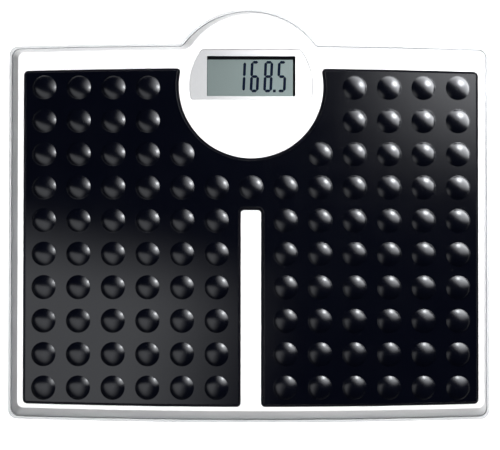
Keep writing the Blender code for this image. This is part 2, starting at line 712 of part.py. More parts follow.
def make_cover(material):
    """The upper shell: sloped walls, a flat deck with the mat's recess and the display's seat, and bosses."""
    drop = SEAM_HEIGHT - FLOOR_TOP - FIT_GAP
    slope = (RIM_INSET - SEAM_INSET) / (RIM_HEIGHT - RIM_EDGE - SEAM_HEIGHT)
    ceiling_inset = SEAM_INSET + slope * (CEILING - SEAM_HEIGHT) + COVER_WALL
    levels = (
        (RIM_HEIGHT, RIM_INSET + RIM_EDGE),
        (RIM_HEIGHT - RIM_EDGE / 3, RIM_INSET + RIM_EDGE / 3),
        (RIM_HEIGHT - RIM_EDGE, RIM_INSET),
        (SEAM_HEIGHT, SEAM_INSET),
        (SEAM_HEIGHT - drop, SEAM_INSET),
        (SEAM_HEIGHT - drop, SEAM_INSET + COVER_WALL),
        (SEAM_HEIGHT, SEAM_INSET + COVER_WALL),
        (CEILING, ceiling_inset),
    )
    rings = [raised(body_outline(inset), z) for z, inset in levels]
    cover = place("platform_cover", mesh_of("platform_cover", loft(bmesh.new(), rings), material))

    bosses = bmesh.new()
    inside = CEILING + DECK_THICKNESS / 3
    for spot in CASE_SCREW_PLACES:
        cylinder(bosses, CASE_BOSS_RADIUS, TRAY_BOSS_TOP + FIT_GAP, inside, spot, BOSS_SIDES)
    for spot in BOARD_SCREW_PLACES:
        cylinder(bosses, BOARD_BOSS_RADIUS, BOARD_TOP + FIT_GAP, inside, spot, BOSS_SIDES)
    combine(cover, "UNION", bosses)

    cuts = bmesh.new()
    above = RIM_HEIGHT + CUT_OVERRUN
    prism(cuts, mat_outline(FIT_GAP), RIM_HEIGHT - MAT_RECESS, above)
    seat = RIM_HEIGHT - MASK_SEAT_DEPTH
    prism(cuts, window_outline(FIT_GAP), seat, above)
    margin = LENS_MARGIN + FIT_GAP
    opening = rounded_rectangle(
        READOUT_WIDTH / 2 + margin,
        READOUT_FRONT_Y - margin,
        READOUT_REAR_Y + margin,
        READOUT_CORNER_RADIUS + margin,
    )
    prism(cuts, opening, CEILING - CUT_OVERRUN, seat + MASK_SEAT_DEPTH / 2)
    pilot_top = TRAY_BOTTOM + CASE_SCREW_SINK + CASE_HEAD_THICKNESS + CASE_SCREW_LENGTH + FIT_GAP
    for spot in CASE_SCREW_PLACES:
        cylinder(cuts, CASE_SHANK_RADIUS + FIT_GAP, TRAY_BOSS_TOP - CUT_OVERRUN, pilot_top, spot, SCREW_SIDES)
    pilot_top = ON_BOARD + BOARD_SCREW_LENGTH + FIT_GAP
    for spot in BOARD_SCREW_PLACES:
        cylinder(cuts, BOARD_SHANK_RADIUS + FIT_GAP, BOARD_TOP - CUT_OVERRUN, pilot_top, spot, SCREW_SIDES)
    combine(cover, "DIFFERENCE", cuts, overlapping=True)


def add_ribs(bm):
    """The tray's ribs, which carry the stiffener plate."""
    root = FLOOR_TOP - TRAY_FLOOR / 2
    half = RIB_WALL / 2
    span = HALF_WIDTH - RIB_SIDE_MARGIN
    front, rear = FRONT_Y + RIB_FRONT_MARGIN, REAR_Y - RIB_REAR_MARGIN
    for y in CROSS_RIBS_Y:
        block(bm, (-span, y - half, root), (span, y + half, SUPPORT_TOP))
    for side in (-1, 1):
        x = side * LONG_RIB_X
        block(bm, (x - half, front, root), (x + half, rear, SUPPORT_TOP))
        x = side * INNER_RIB_X
        block(bm, (x - half, front, root), (x + half, RIB_TO_BAY, SUPPORT_TOP))


def add_bay(bm):
    """The battery box in the tray, with the blocks that hold the door's pins and its latch."""
    root = FLOOR_TOP - TRAY_FLOOR / 2
    side = DOOR_HALF_WIDTH + FIT_GAP + DOOR_SIDE_STEP
    end = BAY_HALF_LENGTH + BAY_WALL
    block(bm, (-side, -end, root), (side, end, BAY_TOP + BAY_WALL))
    socket_end = DOOR_HALF_WIDTH + HINGE_PIN_LENGTH + HINGE_BLOCK_WALL
    back = HINGE_Y - HINGE_RADIUS - FIT_GAP - HINGE_BLOCK_WALL
    hinge_top = HINGE_Z + HINGE_RADIUS + FIT_GAP + HINGE_BLOCK_WALL
    block(bm, (-socket_end, back, root), (socket_end, BAY_WALL - BAY_HALF_LENGTH, hinge_top))
    latch_back = DOOR_END_Y + FIT_GAP + HINGE_BLOCK_WALL
    latch_top = DOOR_TOP + LATCH_HEIGHT + BAY_WALL
    latch_side = side - BAY_WALL / 2
    block(bm, (-latch_side, BAY_HALF_LENGTH - BAY_WALL, root), (latch_side, latch_back, latch_top))


def add_switch_posts(bm):
    """The posts at both ends of the switch's body, and the pads that it stands on."""
    root = FLOOR_TOP - TRAY_FLOOR / 2
    post = (SWITCH_HALF_LENGTH + FIT_GAP, SWITCH_BOTTOM + SWITCH_HEIGHT)
    pad = (SWITCH_HALF_LENGTH - SWITCH_POST, SWITCH_BOTTOM - FIT_GAP)
    for side in (-1, 1):
        for inner, top in (post, pad):
            ends = sorted((SWITCH_X + side * inner, SWITCH_X + side * (inner + SWITCH_POST)))
            low = (ends[0], SWITCH_Y - SWITCH_WIDTH / 2, root)
            block(bm, low, (ends[1], SWITCH_Y + SWITCH_WIDTH / 2, top))


def cut_bay(bm):
    """The battery bay's inside, the door's opening, the hinge groove and sockets, and the latch's notch."""
    below = TRAY_BOTTOM - CUT_OVERRUN
    block(bm, (-BAY_HALF_WIDTH, -BAY_HALF_LENGTH, below), (BAY_HALF_WIDTH, BAY_HALF_LENGTH, BAY_TOP))
    side = DOOR_HALF_WIDTH + FIT_GAP
    hinge_edge = HINGE_Y - HINGE_RADIUS - FIT_GAP
    block(bm, (-side, hinge_edge, below), (side, DOOR_END_Y + FIT_GAP, DOOR_TOP + FIT_GAP))
    groove_top = HINGE_Z + HINGE_RADIUS + FIT_GAP
    groove_end = max(HINGE_Y + HINGE_RADIUS + FIT_GAP, BAY_WALL - BAY_HALF_LENGTH)
    groove_side = side - FIT_GAP / 2
    block(bm, (-groove_side, hinge_edge + FIT_GAP / 2, below), (groove_side, groove_end, groove_top))
    reach = DOOR_HALF_WIDTH + HINGE_PIN_LENGTH + FIT_GAP
    radius = HINGE_PIN_RADIUS + FIT_GAP
    turned(bm, ((radius, -reach), (radius, reach)), (0, HINGE_Y, HINGE_Z), HINGE_SIDES, (1, 0, 0))
    notch = LATCH_WIDTH / 2 + FIT_GAP
    notch_top = DOOR_TOP + LATCH_HEIGHT + FIT_GAP
    notch_end = DOOR_END_Y + FIT_GAP / 2
    block(bm, (-notch, DOOR_END_Y - LATCH_THICKNESS - 2 * FIT_GAP, below), (notch, notch_end, notch_top))
    scoop_end = DOOR_END_Y + FINGER_RECESS_LENGTH
    scoop = LATCH_WIDTH / 2 + FIT_GAP / 2
    block(bm, (-scoop, DOOR_END_Y, below), (scoop, scoop_end, TRAY_BOTTOM + FINGER_RECESS_DEPTH))
    lead_hole = LEAD_RADIUS + FIT_GAP
    start, end = BAY_HALF_LENGTH - CUT_OVERRUN, BAY_HALF_LENGTH + BAY_WALL + CUT_OVERRUN
    for x in (-LEAD_EXIT_X, LEAD_EXIT_X):
        turned(bm, ((lead_hole, start), (lead_hole, end)), (x, 0, BATTERY_Z), SCREW_SIDES, (0, 1, 0))


def cut_cable_ways(bm):
    """Notches at the feet of the ribs, where cables cross them, and in the walls round the load cells."""
    half = CABLE_NOTCH_WIDTH / 2
    sill = FLOOR_TOP + NOTCH_SILL
    top = sill + CABLE_NOTCH_HEIGHT
    through = RIB_WALL / 2 + CUT_OVERRUN
    for side in (-1, 1):
        for y in CROSS_RIBS_Y:
            x = side * FRONT_CABLE_X
            block(bm, (x - half, y - through, sill), (x + half, y + through, top))
        lead_x = side * LEAD_X
        y = RIB_TO_BAY
        block(bm, (lead_x - half, y - through, sill), (lead_x + half, y + through, top))
        x = side * LONG_RIB_X
        for y in (FRONT_CABLE_TURN_Y, FOOT_REAR_Y):
            block(bm, (x - through, y - half, sill), (x + through, y + half, top))
        inward = -side
        near, far = CARRIER_RADIUS - RIB_WALL, CARRIER_RADIUS + POCKET_WALL + CUT_OVERRUN
        for y in (FOOT_FRONT_Y, FOOT_REAR_Y):
            ends = sorted((side * FOOT_X + inward * near, side * FOOT_X + inward * far))
            low = CARRIER_BOTTOM - FIT_GAP
            block(bm, (ends[0], y - half, low), (ends[1], y + half, POCKET_TOP + CUT_OVERRUN))


def make_tray(material):
    """The lower shell: a floor with a low lip, ribs, foot pockets, screw bosses and the battery box."""
    levels = [(TRAY_BOTTOM + TRAY_TURN * rise, TRAY_TURN * inset) for rise, inset in TRAY_TURN_SHARES]
    levels += (
        (SEAM_HEIGHT - TRAY_LIP_EDGE, 0),
        (SEAM_HEIGHT, TRAY_LIP_EDGE),
        (SEAM_HEIGHT, TRAY_LIP - TRAY_LIP_EDGE),
        (SEAM_HEIGHT - TRAY_LIP_EDGE, TRAY_LIP),
        (FLOOR_TOP, TRAY_LIP),
    )
    rings = [raised(body_outline(inset), z) for z, inset in levels]
    tray = place("base_tray", mesh_of("base_tray", loft(bmesh.new(), rings), material))

    root = FLOOR_TOP - TRAY_FLOOR / 2
    added = bmesh.new()
    add_ribs(added)
    add_bay(added)
    for spot in FOOT_PLACES.values():
        cylinder(added, CARRIER_RADIUS + FIT_GAP + POCKET_WALL, root, POCKET_TOP, spot)
    for spot in CASE_SCREW_PLACES:
        cylinder(added, TRAY_BOSS_RADIUS, root, TRAY_BOSS_TOP, spot, BOSS_SIDES)
    add_switch_posts(added)
    combine(tray, "UNION", added, overlapping=True)

    cuts = bmesh.new()
    below = TRAY_BOTTOM - CUT_OVERRUN
    ledge = CUP_RADIUS + CUP_FLANGE + LEDGE_GAP
    pocket = CARRIER_RADIUS + FIT_GAP
    for spot in FOOT_PLACES.values():
        cylinder(cuts, CUP_RADIUS + CUP_CLEARANCE, below, FLOOR_TOP + FIT_GAP, spot)
        cylinder(cuts, ledge, FLOOR_TOP, CARRIER_BOTTOM, spot)
        cylinder(cuts, pocket, CARRIER_BOTTOM - FIT_GAP, POCKET_TOP + CUT_OVERRUN, spot)
    head_top = TRAY_BOTTOM + CASE_SCREW_SINK + CASE_HEAD_THICKNESS + FIT_GAP
    for spot in CASE_SCREW_PLACES:
        cylinder(cuts, CASE_HEAD_RADIUS + FIT_GAP, below, head_top, spot, BOSS_SIDES)
        cylinder(cuts, CASE_SHANK_RADIUS + FIT_GAP, below, TRAY_BOSS_TOP + CUT_OVERRUN, spot, SCREW_SIDES)
    cut_bay(cuts)
    cut_cable_ways(cuts)
    slot_half = (KNOB_LENGTH + SWITCH_TRAVEL) / 2 + FIT_GAP
    knob_half = KNOB_WIDTH / 2 + FIT_GAP
    low = (SWITCH_X - slot_half, SWITCH_Y - knob_half, below)
    block(cuts, low, (SWITCH_X + slot_half, SWITCH_Y + knob_half, FLOOR_TOP + CUT_OVERRUN / 2))
    recess_x, recess_y = slot_half + SWITCH_RECESS_MARGIN, knob_half + SWITCH_RECESS_MARGIN
    high = (SWITCH_X + recess_x, SWITCH_Y + recess_y, TRAY_BOTTOM + SWITCH_RECESS_DEPTH)
    block(cuts, (SWITCH_X - recess_x, SWITCH_Y - recess_y, below), high)
    prism(cuts, rating_outline(FIT_GAP), below, TRAY_BOTTOM + RATING_RECESS)
    combine(tray, "DIFFERENCE", cuts, overlapping=True)


def make_display(silver, clear, glass, frame_plastic, rubber):
    """The display's own stack: mask, lens, liquid crystal panel, its frame and the contact strip."""
    mask_top = MASK_BOTTOM + MASK_THICKNESS
    body = prism(bmesh.new(), window_outline(0), MASK_BOTTOM, mask_top)
    mask = place("display_mask", mesh_of("display_mask", body, silver))
    readout = rounded_rectangle(READOUT_WIDTH / 2, READOUT_FRONT_Y, READOUT_REAR_Y, READOUT_CORNER_RADIUS)
    cut = prism(bmesh.new(), readout, MASK_BOTTOM - CUT_OVERRUN, mask_top + CUT_OVERRUN)
    combine(mask, "DIFFERENCE", cut)

    lens_corner = READOUT_CORNER_RADIUS + LENS_MARGIN
    front, rear = READOUT_FRONT_Y - LENS_MARGIN, READOUT_REAR_Y + LENS_MARGIN
    lens = rounded_rectangle(READOUT_WIDTH / 2 + LENS_MARGIN, front, rear, lens_corner)
    body = prism(bmesh.new(), lens, PANEL_TOP + FIT_GAP, MASK_BOTTOM - FIT_GAP)
    place("display_lens", mesh_of("display_lens", body, clear))

    half_x = READOUT_WIDTH / 2 + PANEL_MARGIN
    half_y = READOUT_DEPTH / 2 + PANEL_MARGIN
    low, high = (-half_x, READOUT_Y - half_y, PANEL_BOTTOM), (half_x, READOUT_Y + half_y, PANEL_TOP)
    body = block(bmesh.new(), low, high)
    place("lcd_panel", mesh_of("lcd_panel", body, glass))

    outer_x, outer_y = half_x + FRAME_WALL, half_y + FRAME_WALL
    low = (-outer_x, READOUT_Y - outer_y, BOARD_TOP + FIT_GAP)
    body = block(bmesh.new(), low, (outer_x, READOUT_Y + outer_y, PANEL_TOP))
    frame = place("lcd_frame", mesh_of("lcd_frame", body, frame_plastic))
    cuts = bmesh.new()
    pocket_x, pocket_y = half_x + FIT_GAP, half_y + FIT_GAP
    low = (-pocket_x, READOUT_Y - pocket_y, PANEL_BOTTOM - FIT_GAP)
    block(cuts, low, (pocket_x, READOUT_Y + pocket_y, PANEL_TOP + CUT_OVERRUN))
    low = (-half_x + FRAME_LEDGE, READOUT_Y - pocket_y, BOARD_TOP - CUT_OVERRUN)
    block(cuts, low, (half_x - FRAME_LEDGE, READOUT_Y + half_y - FRAME_LEDGE, PANEL_TOP))
    combine(frame, "DIFFERENCE", cuts, overlapping=True)

    strip_y = READOUT_Y - half_y
    strip_x = READOUT_WIDTH / 2 - STRIP_SIDE_MARGIN
    low = (-strip_x, strip_y, BOARD_TOP + FIT_GAP)
    body = block(bmesh.new(), low, (strip_x, strip_y + STRIP_THICKNESS, PANEL_BOTTOM - FIT_GAP))
    place("lcd_connector", mesh_of("lcd_connector", body, rubber))


def make_board(board_green, chip_black, can_blue, steel):
    """The display board, screwed under the cover, and the parts on its underside."""
    low = (-BOARD_HALF_WIDTH, BOARD_FRONT_Y, BOARD_BOTTOM)
    body = block(bmesh.new(), low, (BOARD_HALF_WIDTH, BOARD_REAR_Y, BOARD_TOP))
    board = place("display_board", mesh_of("display_board", body, board_green))
    holes = bmesh.new()
    for spot in BOARD_SCREW_PLACES:
        low, high = BOARD_BOTTOM - CUT_OVERRUN, BOARD_TOP + CUT_OVERRUN
        cylinder(holes, BOARD_SHANK_RADIUS + FIT_GAP, low, high, spot, SCREW_SIDES)
    combine(board, "DIFFERENCE", holes)

    half = CHIP_SIZE / 2
    low, high = (-half, READOUT_Y - half, ON_BOARD - CHIP_THICKNESS), (half, READOUT_Y + half, ON_BOARD)
    body = block(bmesh.new(), low, high)
    place("controller_chip", mesh_of("controller_chip", body, chip_black))
    body = cylinder(bmesh.new(), CAPACITOR_RADIUS, -CAPACITOR_LENGTH, 0, sides=BOSS_SIDES)
    can_y = READOUT_Y + CAN_TO_CHIP
    place("board_capacitor", mesh_of("board_capacitor", body, can_blue), (CAPACITOR_X, can_y, ON_BOARD))
    profile = ((SENSOR_RADIUS, -SENSOR_LENGTH / 2), (SENSOR_RADIUS, SENSOR_LENGTH / 2))
    body = turned(bmesh.new(), profile, sides=BOSS_SIDES, axis=(0, 1, 0))
    place("tap_sensor", mesh_of("tap_sensor", body, steel), (SENSOR_X, can_y, ON_BOARD - SENSOR_RADIUS))


def screw_mesh(name, head_radius, head_thickness, shank_radius, length, material):
    """A pan-head screw, head down, with a cross slot; its head's underside is at the origin."""
    profile = (
        (head_radius * HEAD_FACE_SHARE, -head_thickness),
        (head_radius, -head_thickness * HEAD_SIDE_SHARE),
        (head_radius, 0),
        (shank_radius, 0),
        (shank_radius, length - shank_radius),
        (0, length),
    )
    screw = place(name, mesh_of(name, turned(bmesh.new(), profile, sides=SCREW_SIDES), material))
    slots = bmesh.new()
    reach, half = head_radius * CROSS_SLOT_SHARE, CROSS_SLOT_WIDTH / 2
    low, high = -head_thickness - CUT_OVERRUN, -head_thickness + CROSS_SLOT_DEPTH
    block(slots, (-reach, -half, low), (reach, half, high))
    block(slots, (-half, -reach, low), (half, reach, high))
    combine(screw, "DIFFERENCE", slots, overlapping=True)
    return settled_mesh(screw)


def make_screws(steel):
    """The screws that close the case and those that hold the display board."""
    mesh = screw_mesh(
        "case_screw", CASE_HEAD_RADIUS, CASE_HEAD_THICKNESS, CASE_SHANK_RADIUS, CASE_SCREW_LENGTH, steel
    )
    for number, spot in enumerate(CASE_SCREW_PLACES, 1):
        z = TRAY_BOTTOM + CASE_SCREW_SINK + CASE_HEAD_THICKNESS
        place(f"case_screw_{number}", mesh, (*spot, z))
    mesh = screw_mesh(
        "board_screw", BOARD_HEAD_RADIUS, BOARD_HEAD_THICKNESS, BOARD_SHANK_RADIUS, BOARD_SCREW_LENGTH, steel
    )
    for number, spot in enumerate(BOARD_SCREW_PLACES, 1):
        place(f"board_screw_{number}", mesh, (*spot, ON_BOARD))


def cell_mesh(steel):
    """A load cell: a steel plate with a tongue cut free on three sides, round its own centre."""
    half, chamfer = CELL_SIZE / 2, CELL_CHAMFER
    quarter = [(half, half - chamfer), (half - chamfer, half)]
    outline = quarter + [(-x, y) for x, y in reversed(quarter)]
    outline += [(-x, -y) for x, y in quarter] + [(x, -y) for x, y in reversed(quarter)]
    body = prism(bmesh.new(), outline, CELL_BOTTOM, CELL_TOP)
    plate = place("load_cell", mesh_of("load_cell", body, steel))
    inner, outer = CELL_TONGUE_WIDTH / 2, CELL_TONGUE_WIDTH / 2 + CELL_SLIT
    end, start = CELL_TONGUE_LENGTH / 2, -CELL_TONGUE_LENGTH / 2
    tip = start + CELL_SLIT
    slit = ((-outer, start), (outer, start), (outer, end), (inner, end), (inner, tip))
    slit += ((-inner, tip), (-inner, end), (-outer, end))
    cut = prism(bmesh.new(), slit, CELL_BOTTOM - CUT_OVERRUN, CELL_TOP + CUT_OVERRUN)
    combine(plate, "DIFFERENCE", cut)
    return settled_mesh(plate)


def carrier_mesh(plastic):
    """The carrier that seats a load cell and bears on the stiffener plate, with a way out for the cable."""
    seat_radius = CARRIER_RADIUS - CARRIER_SKIRT
    shoulder = CARRIER_BOTTOM + CARRIER_DEPTH
    relief = CARRIER_SEAT + CARRIER_RELIEF_DEPTH
    hub_inside = CARRIER_HUB_RADIUS - CARRIER_HUB_WALL
    profile = (
        (0, relief),
        (CARRIER_RELIEF_RADIUS, relief),
        (CARRIER_RELIEF_RADIUS, CARRIER_SEAT),
        (seat_radius, CARRIER_SEAT),
        (seat_radius, CARRIER_BOTTOM),
        (CARRIER_RADIUS, CARRIER_BOTTOM),
        (CARRIER_RADIUS, shoulder),
        (CARRIER_HUB_RADIUS, shoulder + CARRIER_HUB_WALL / 2),
        (CARRIER_HUB_RADIUS, SUPPORT_TOP),
        (hub_inside, SUPPORT_TOP),
        (hub_inside, shoulder + CARRIER_HUB_WALL / 2),
        (0, shoulder + CARRIER_HUB_WALL / 2),
    )
    carrier = place("cell_carrier", mesh_of("cell_carrier", turned(bmesh.new(), profile), plastic))
    notch = bmesh.new()
    half = CABLE_NOTCH_WIDTH / 2
    low = (seat_radius - CARRIER_SKIRT / 2, -half, CARRIER_BOTTOM - CUT_OVERRUN)
    block(notch, low, (CARRIER_RADIUS + CUT_OVERRUN, half, CARRIER_SEAT - FIT_GAP))
    combine(carrier, "DIFFERENCE", notch)
    return settled_mesh(carrier)


def make_feet(plastic, rubber, steel, carrier_plastic):
    """The four feet, each with its load cell and carrier above it."""
    profile = (
        (PAD_RADIUS - PAD_EDGE, 0),
        (PAD_RADIUS, PAD_EDGE),
        (PAD_RADIUS, PAD_THICKNESS),
    )
    pad = mesh_of("foot_pad", turned(bmesh.new(), profile), rubber)
    flange = CUP_RADIUS + CUP_FLANGE
    profile = (
        (0, PAD_THICKNESS + FIT_GAP),
        (PAD_RADIUS + FIT_GAP, PAD_THICKNESS + FIT_GAP),
        (PAD_RADIUS + FIT_GAP, CUP_BOTTOM),
        (CUP_RADIUS - PAD_EDGE, CUP_BOTTOM),
        (CUP_RADIUS, CUP_BOTTOM + PAD_EDGE),
        (CUP_RADIUS, FLOOR_TOP + FIT_GAP),
        (flange, FLOOR_TOP + FIT_GAP),
        (flange, CUP_TOP),
        (CUP_TIP_RADIUS, CUP_TOP),
        (CUP_TIP_RADIUS, CUP_TOP + CUP_TIP_HEIGHT),
        (0, CUP_TOP + CUP_TIP_HEIGHT),
    )
    cup = mesh_of("foot_cup", turned(bmesh.new(), profile), plastic)
    cell = cell_mesh(steel)
    carrier = carrier_mesh(carrier_plastic)
    for corner, (x, y) in FOOT_PLACES.items():
        turn = math.pi if x > 0 else 0.0
        place(f"foot_pad_{corner}", pad, (x, y, 0))
        place(f"foot_cup_{corner}", cup, (x, y, 0))
        place(f"load_cell_{corner}", cell, (x, y, 0), turn)
        place(f"cell_carrier_{corner}", carrier, (x, y, 0), turn)


def battery_x(number):
    """The X place of a battery, numbered from 0 at the left."""
    return (number - (CELL_COUNT - 1) / 2) * BATTERY_PITCH


def make_cables(cable_grey, lead_red, lead_black):
    """The cables of the load cells and the two battery leads."""
    for corner, (x, y) in FOOT_PLACES.items():
        route = FRONT_ROUTE if y < 0 else REAR_ROUTE
        side = -1 if x < 0 else 1
        points = [(side * px, py, pz) for px, py, pz in route]
        cable(f"cell_cable_{corner}", points, CABLE_RADIUS, cable_grey)
    for name, side, material in (("negative", -1, lead_black), ("positive", 1, lead_red)):
        points = [(side * x, y, z) for x, y, z in LEAD_ROUTE]
        cable(f"battery_lead_{name}", points, LEAD_RADIUS, material)


def make_batteries(label):
    """The batteries, side by side, every second one turned round."""
    body_end = BATTERY_LENGTH - BATTERY_BASE
    profile = (
        (BATTERY_RADIUS - BATTERY_EDGE, -BATTERY_BASE),
        (BATTERY_RADIUS, BATTERY_EDGE - BATTERY_BASE),
        (BATTERY_RADIUS, body_end - BATTERY_EDGE),
        (BATTERY_RADIUS - BATTERY_EDGE, body_end),
        (BATTERY_NUB_RADIUS, body_end),
        (BATTERY_NUB_RADIUS, NUB_END),
    )
    mesh = mesh_of("battery", turned(bmesh.new(), profile, sides=BATTERY_SIDES, axis=(0, 1, 0)), label)
    for number in range(CELL_COUNT):
        turn = 0.0 if number % 2 else math.pi
        place(f"battery_{number + 1}", mesh, (battery_x(number), 0, BATTERY_Z), turn)


def make_contact(name, first, last, side, metal):
    """A contact plate across one or two batteries, with a spring at a base and a bump at a nub."""
    centre = (battery_x(first) + battery_x(last)) / 2
    half = (battery_x(last) - battery_x(first) + CONTACT_WIDTH) / 2
    face, back = side * CONTACT_FACE, side * (CONTACT_FACE + CONTACT_THICKNESS)
    low = (-half, min(back, face), -CONTACT_HEIGHT / 2)
    body = block(bmesh.new(), low, (half, max(back, face), CONTACT_HEIGHT / 2))
    contact = place(name, mesh_of(name, body, metal), (centre, 0, BATTERY_Z))
    root = (face + back) / 2
    tip = side * (BATTERY_BASE + FIT_GAP)
    spring = ((CONTACT_SPRING_RADIUS, root), (CONTACT_SPRING_RADIUS, face), (CONTACT_SPRING_TIP_RADIUS, tip))
    tip = side * (CONTACT_FACE - CONTACT_BUMP_HEIGHT)
    bump = ((CONTACT_BUMP_RADIUS, root), (CONTACT_BUMP_RADIUS, face), (CONTACT_BUMP_TIP_RADIUS, tip))
    shapes = bmesh.new()
    for number in range(first, last + 1):
        nub_side = 1 if number % 2 else -1
        shape = bump if side == nub_side else spring
        turned(shapes, shape, (battery_x(number) - centre, 0, 0), BOSS_SIDES, (0, 1, 0))
    combine(contact, "UNION", shapes)


def make_contacts(metal):
    """The contacts: one at each end of the row of batteries, and the links between neighbours."""
    last = CELL_COUNT - 1
    make_contact("contact_negative", 0, 0, 1, metal)
    make_contact("contact_positive", last, last, 1, metal)
    for number in range(last):
        make_contact(f"contact_link_{number + 1}", number, number + 1, 1 if number % 2 else -1, metal)


def make_door(material):
    """The battery door, its origin on its hinge axis: a plate, a round hinge edge, two pins and a latch."""
    bottom, top = TRAY_BOTTOM - HINGE_Z, DOOR_TOP - HINGE_Z
    end = DOOR_END_Y - HINGE_Y
    body = block(bmesh.new(), (-DOOR_HALF_WIDTH, 0, bottom), (DOOR_HALF_WIDTH, end, top))
    door = place("battery_door", mesh_of("battery_door", body, material), (0, HINGE_Y, HINGE_Z))
    added = bmesh.new()
    profile = ((HINGE_RADIUS, -DOOR_HALF_WIDTH), (HINGE_RADIUS, DOOR_HALF_WIDTH))
    turned(added, profile, sides=ROUND_SIDES, axis=(1, 0, 0))
    reach = DOOR_HALF_WIDTH + HINGE_PIN_LENGTH
    turned(added, ((HINGE_PIN_RADIUS, -reach), (HINGE_PIN_RADIUS, reach)), sides=HINGE_SIDES, axis=(1, 0, 0))
    low = (-LATCH_WIDTH / 2, end - LATCH_THICKNESS, bottom + DOOR_THICKNESS / 2)
    block(added, low, (LATCH_WIDTH / 2, end - FIT_GAP, top + LATCH_HEIGHT))
    combine(door, "UNION", added, overlapping=True)


def make_switch(case_black, knob_white):
    """The unit switch: its body on the tray's floor, and its knob at the start of its travel."""
    low = (-SWITCH_HALF_LENGTH, -SWITCH_WIDTH / 2, 0)
    body = block(bmesh.new(), low, (SWITCH_HALF_LENGTH, SWITCH_WIDTH / 2, SWITCH_HEIGHT))
    spot = (SWITCH_X, SWITCH_Y, SWITCH_BOTTOM)
    switch = place("unit_switch_body", mesh_of("unit_switch_body", body, case_black), spot)
    half_x = (KNOB_STEM + SWITCH_TRAVEL) / 2 + FIT_GAP
    half_y = KNOB_STEM / 2 + FIT_GAP
    cut = block(bmesh.new(), (-half_x, -half_y, -CUT_OVERRUN), (half_x, half_y, KNOB_STEM_HEIGHT + FIT_GAP))
    combine(switch, "DIFFERENCE", cut)

    flange_bottom = FLOOR_TOP + FIT_GAP
    flange_top = flange_bottom + KNOB_FLANGE_THICKNESS
    low = (-KNOB_LENGTH / 2, -KNOB_WIDTH / 2, TRAY_BOTTOM + KNOB_SINK)
    high = (KNOB_LENGTH / 2, KNOB_WIDTH / 2, flange_bottom + KNOB_FLANGE_THICKNESS / 2)
    knob = place(
        "unit_switch_knob",
        mesh_of("unit_switch_knob", block(bmesh.new(), low, high), knob_white),
        (SWITCH_X - SWITCH_TRAVEL / 2, SWITCH_Y, 0),
    )
    added = bmesh.new()
    half_x, half_y = KNOB_LENGTH / 2 + KNOB_FLANGE, KNOB_WIDTH / 2 + KNOB_FLANGE
    block(added, (-half_x, -half_y, flange_bottom), (half_x, half_y, flange_top))
    stem = KNOB_STEM / 2
    block(added, (-stem, -stem, flange_bottom), (stem, stem, SWITCH_BOTTOM + KNOB_STEM_HEIGHT - FIT_GAP))
    combine(knob, "UNION", added, overlapping=True)


def make_flat_pieces(steel, silver):
    """The stiffener plate under the cover and the bare rating plate on the underside."""
    body = prism(bmesh.new(), plate_outline(), PLATE_BOTTOM, PLATE_TOP)
    place("stiffener_plate", mesh_of("stiffener_plate", body, steel))
    top = TRAY_BOTTOM + RATING_RECESS - FIT_GAP
    body = prism(bmesh.new(), rating_outline(0), top - RATING_THICKNESS, top)
    place("rating_plate", mesh_of("rating_plate", body, silver))


def main():
    """Makes every material and then every piece."""
    clear_scene()
    white = finish("white_plastic", (0.88, 0.88, 0.89), 0.32)
    grey = finish("tray_plastic", (0.66, 0.67, 0.69), 0.42)
    black_rubber = finish("black_rubber", (0.012, 0.013, 0.018), 0.30)
    foot_rubber = finish("foot_rubber", (0.05, 0.05, 0.055), 0.80)
    silver = finish("silver_mask", (0.72, 0.72, 0.76), 0.35, 0.6)
    clear = finish("clear_lens", (0.90, 0.92, 0.92), 0.05, alpha=0.25)
    glass = finish("lcd_glass", (0.26, 0.31, 0.27), 0.20)
    frame_plastic = finish("frame_plastic", (0.80, 0.80, 0.78), 0.50)
    strip = finish("strip_rubber", (0.10, 0.10, 0.11), 0.70)
    board_green = finish("board_green", (0.03, 0.17, 0.07), 0.45)
    chip_black = finish("chip_black", (0.02, 0.02, 0.02), 0.50)
    can_blue = finish("can_blue", (0.03, 0.06, 0.20), 0.35)
    steel = finish("steel", (0.56, 0.57, 0.58), 0.30, 1.0)
    contact_metal = finish("contact_metal", (0.70, 0.69, 0.65), 0.25, 1.0)
    carrier_plastic = finish("carrier_plastic", (0.15, 0.15, 0.16), 0.55)
    cable_grey = finish("cable_grey", (0.35, 0.35, 0.36), 0.55)
    lead_red = finish("lead_red", (0.50, 0.02, 0.02), 0.50)
    lead_black = finish("lead_black", (0.02, 0.02, 0.02), 0.50)
    battery_label = finish("battery_label", (0.10, 0.16, 0.14), 0.30)

    make_cover(white)
    make_tray(grey)
    make_mat(black_rubber)
    make_flat_pieces(steel, silver)
    make_display(silver, clear, glass, frame_plastic, strip)
    make_board(board_green, chip_black, can_blue, steel)
    make_screws(steel)
    make_feet(grey, foot_rubber, steel, carrier_plastic)
    make_cables(cable_grey, lead_red, lead_black)
    make_batteries(battery_label)
    make_contacts(contact_metal)
    make_door(grey)
    make_switch(chip_black, white)


main()
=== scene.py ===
"""Looks of a flat bathroom scale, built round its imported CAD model.

A white platform with a black domed rubber mat and a round display pod, on a pale tray with four feet.
Metres, +Z up, +Y towards the rear of the scale, where the display is.
"""

import logging
import math
from collections.abc import Iterable, Iterator, Sequence
from dataclasses import dataclass, field, replace
from enum import Enum
from functools import cache
from typing import ClassVar

import bmesh
import bpy
from mathutils import Matrix, Vector


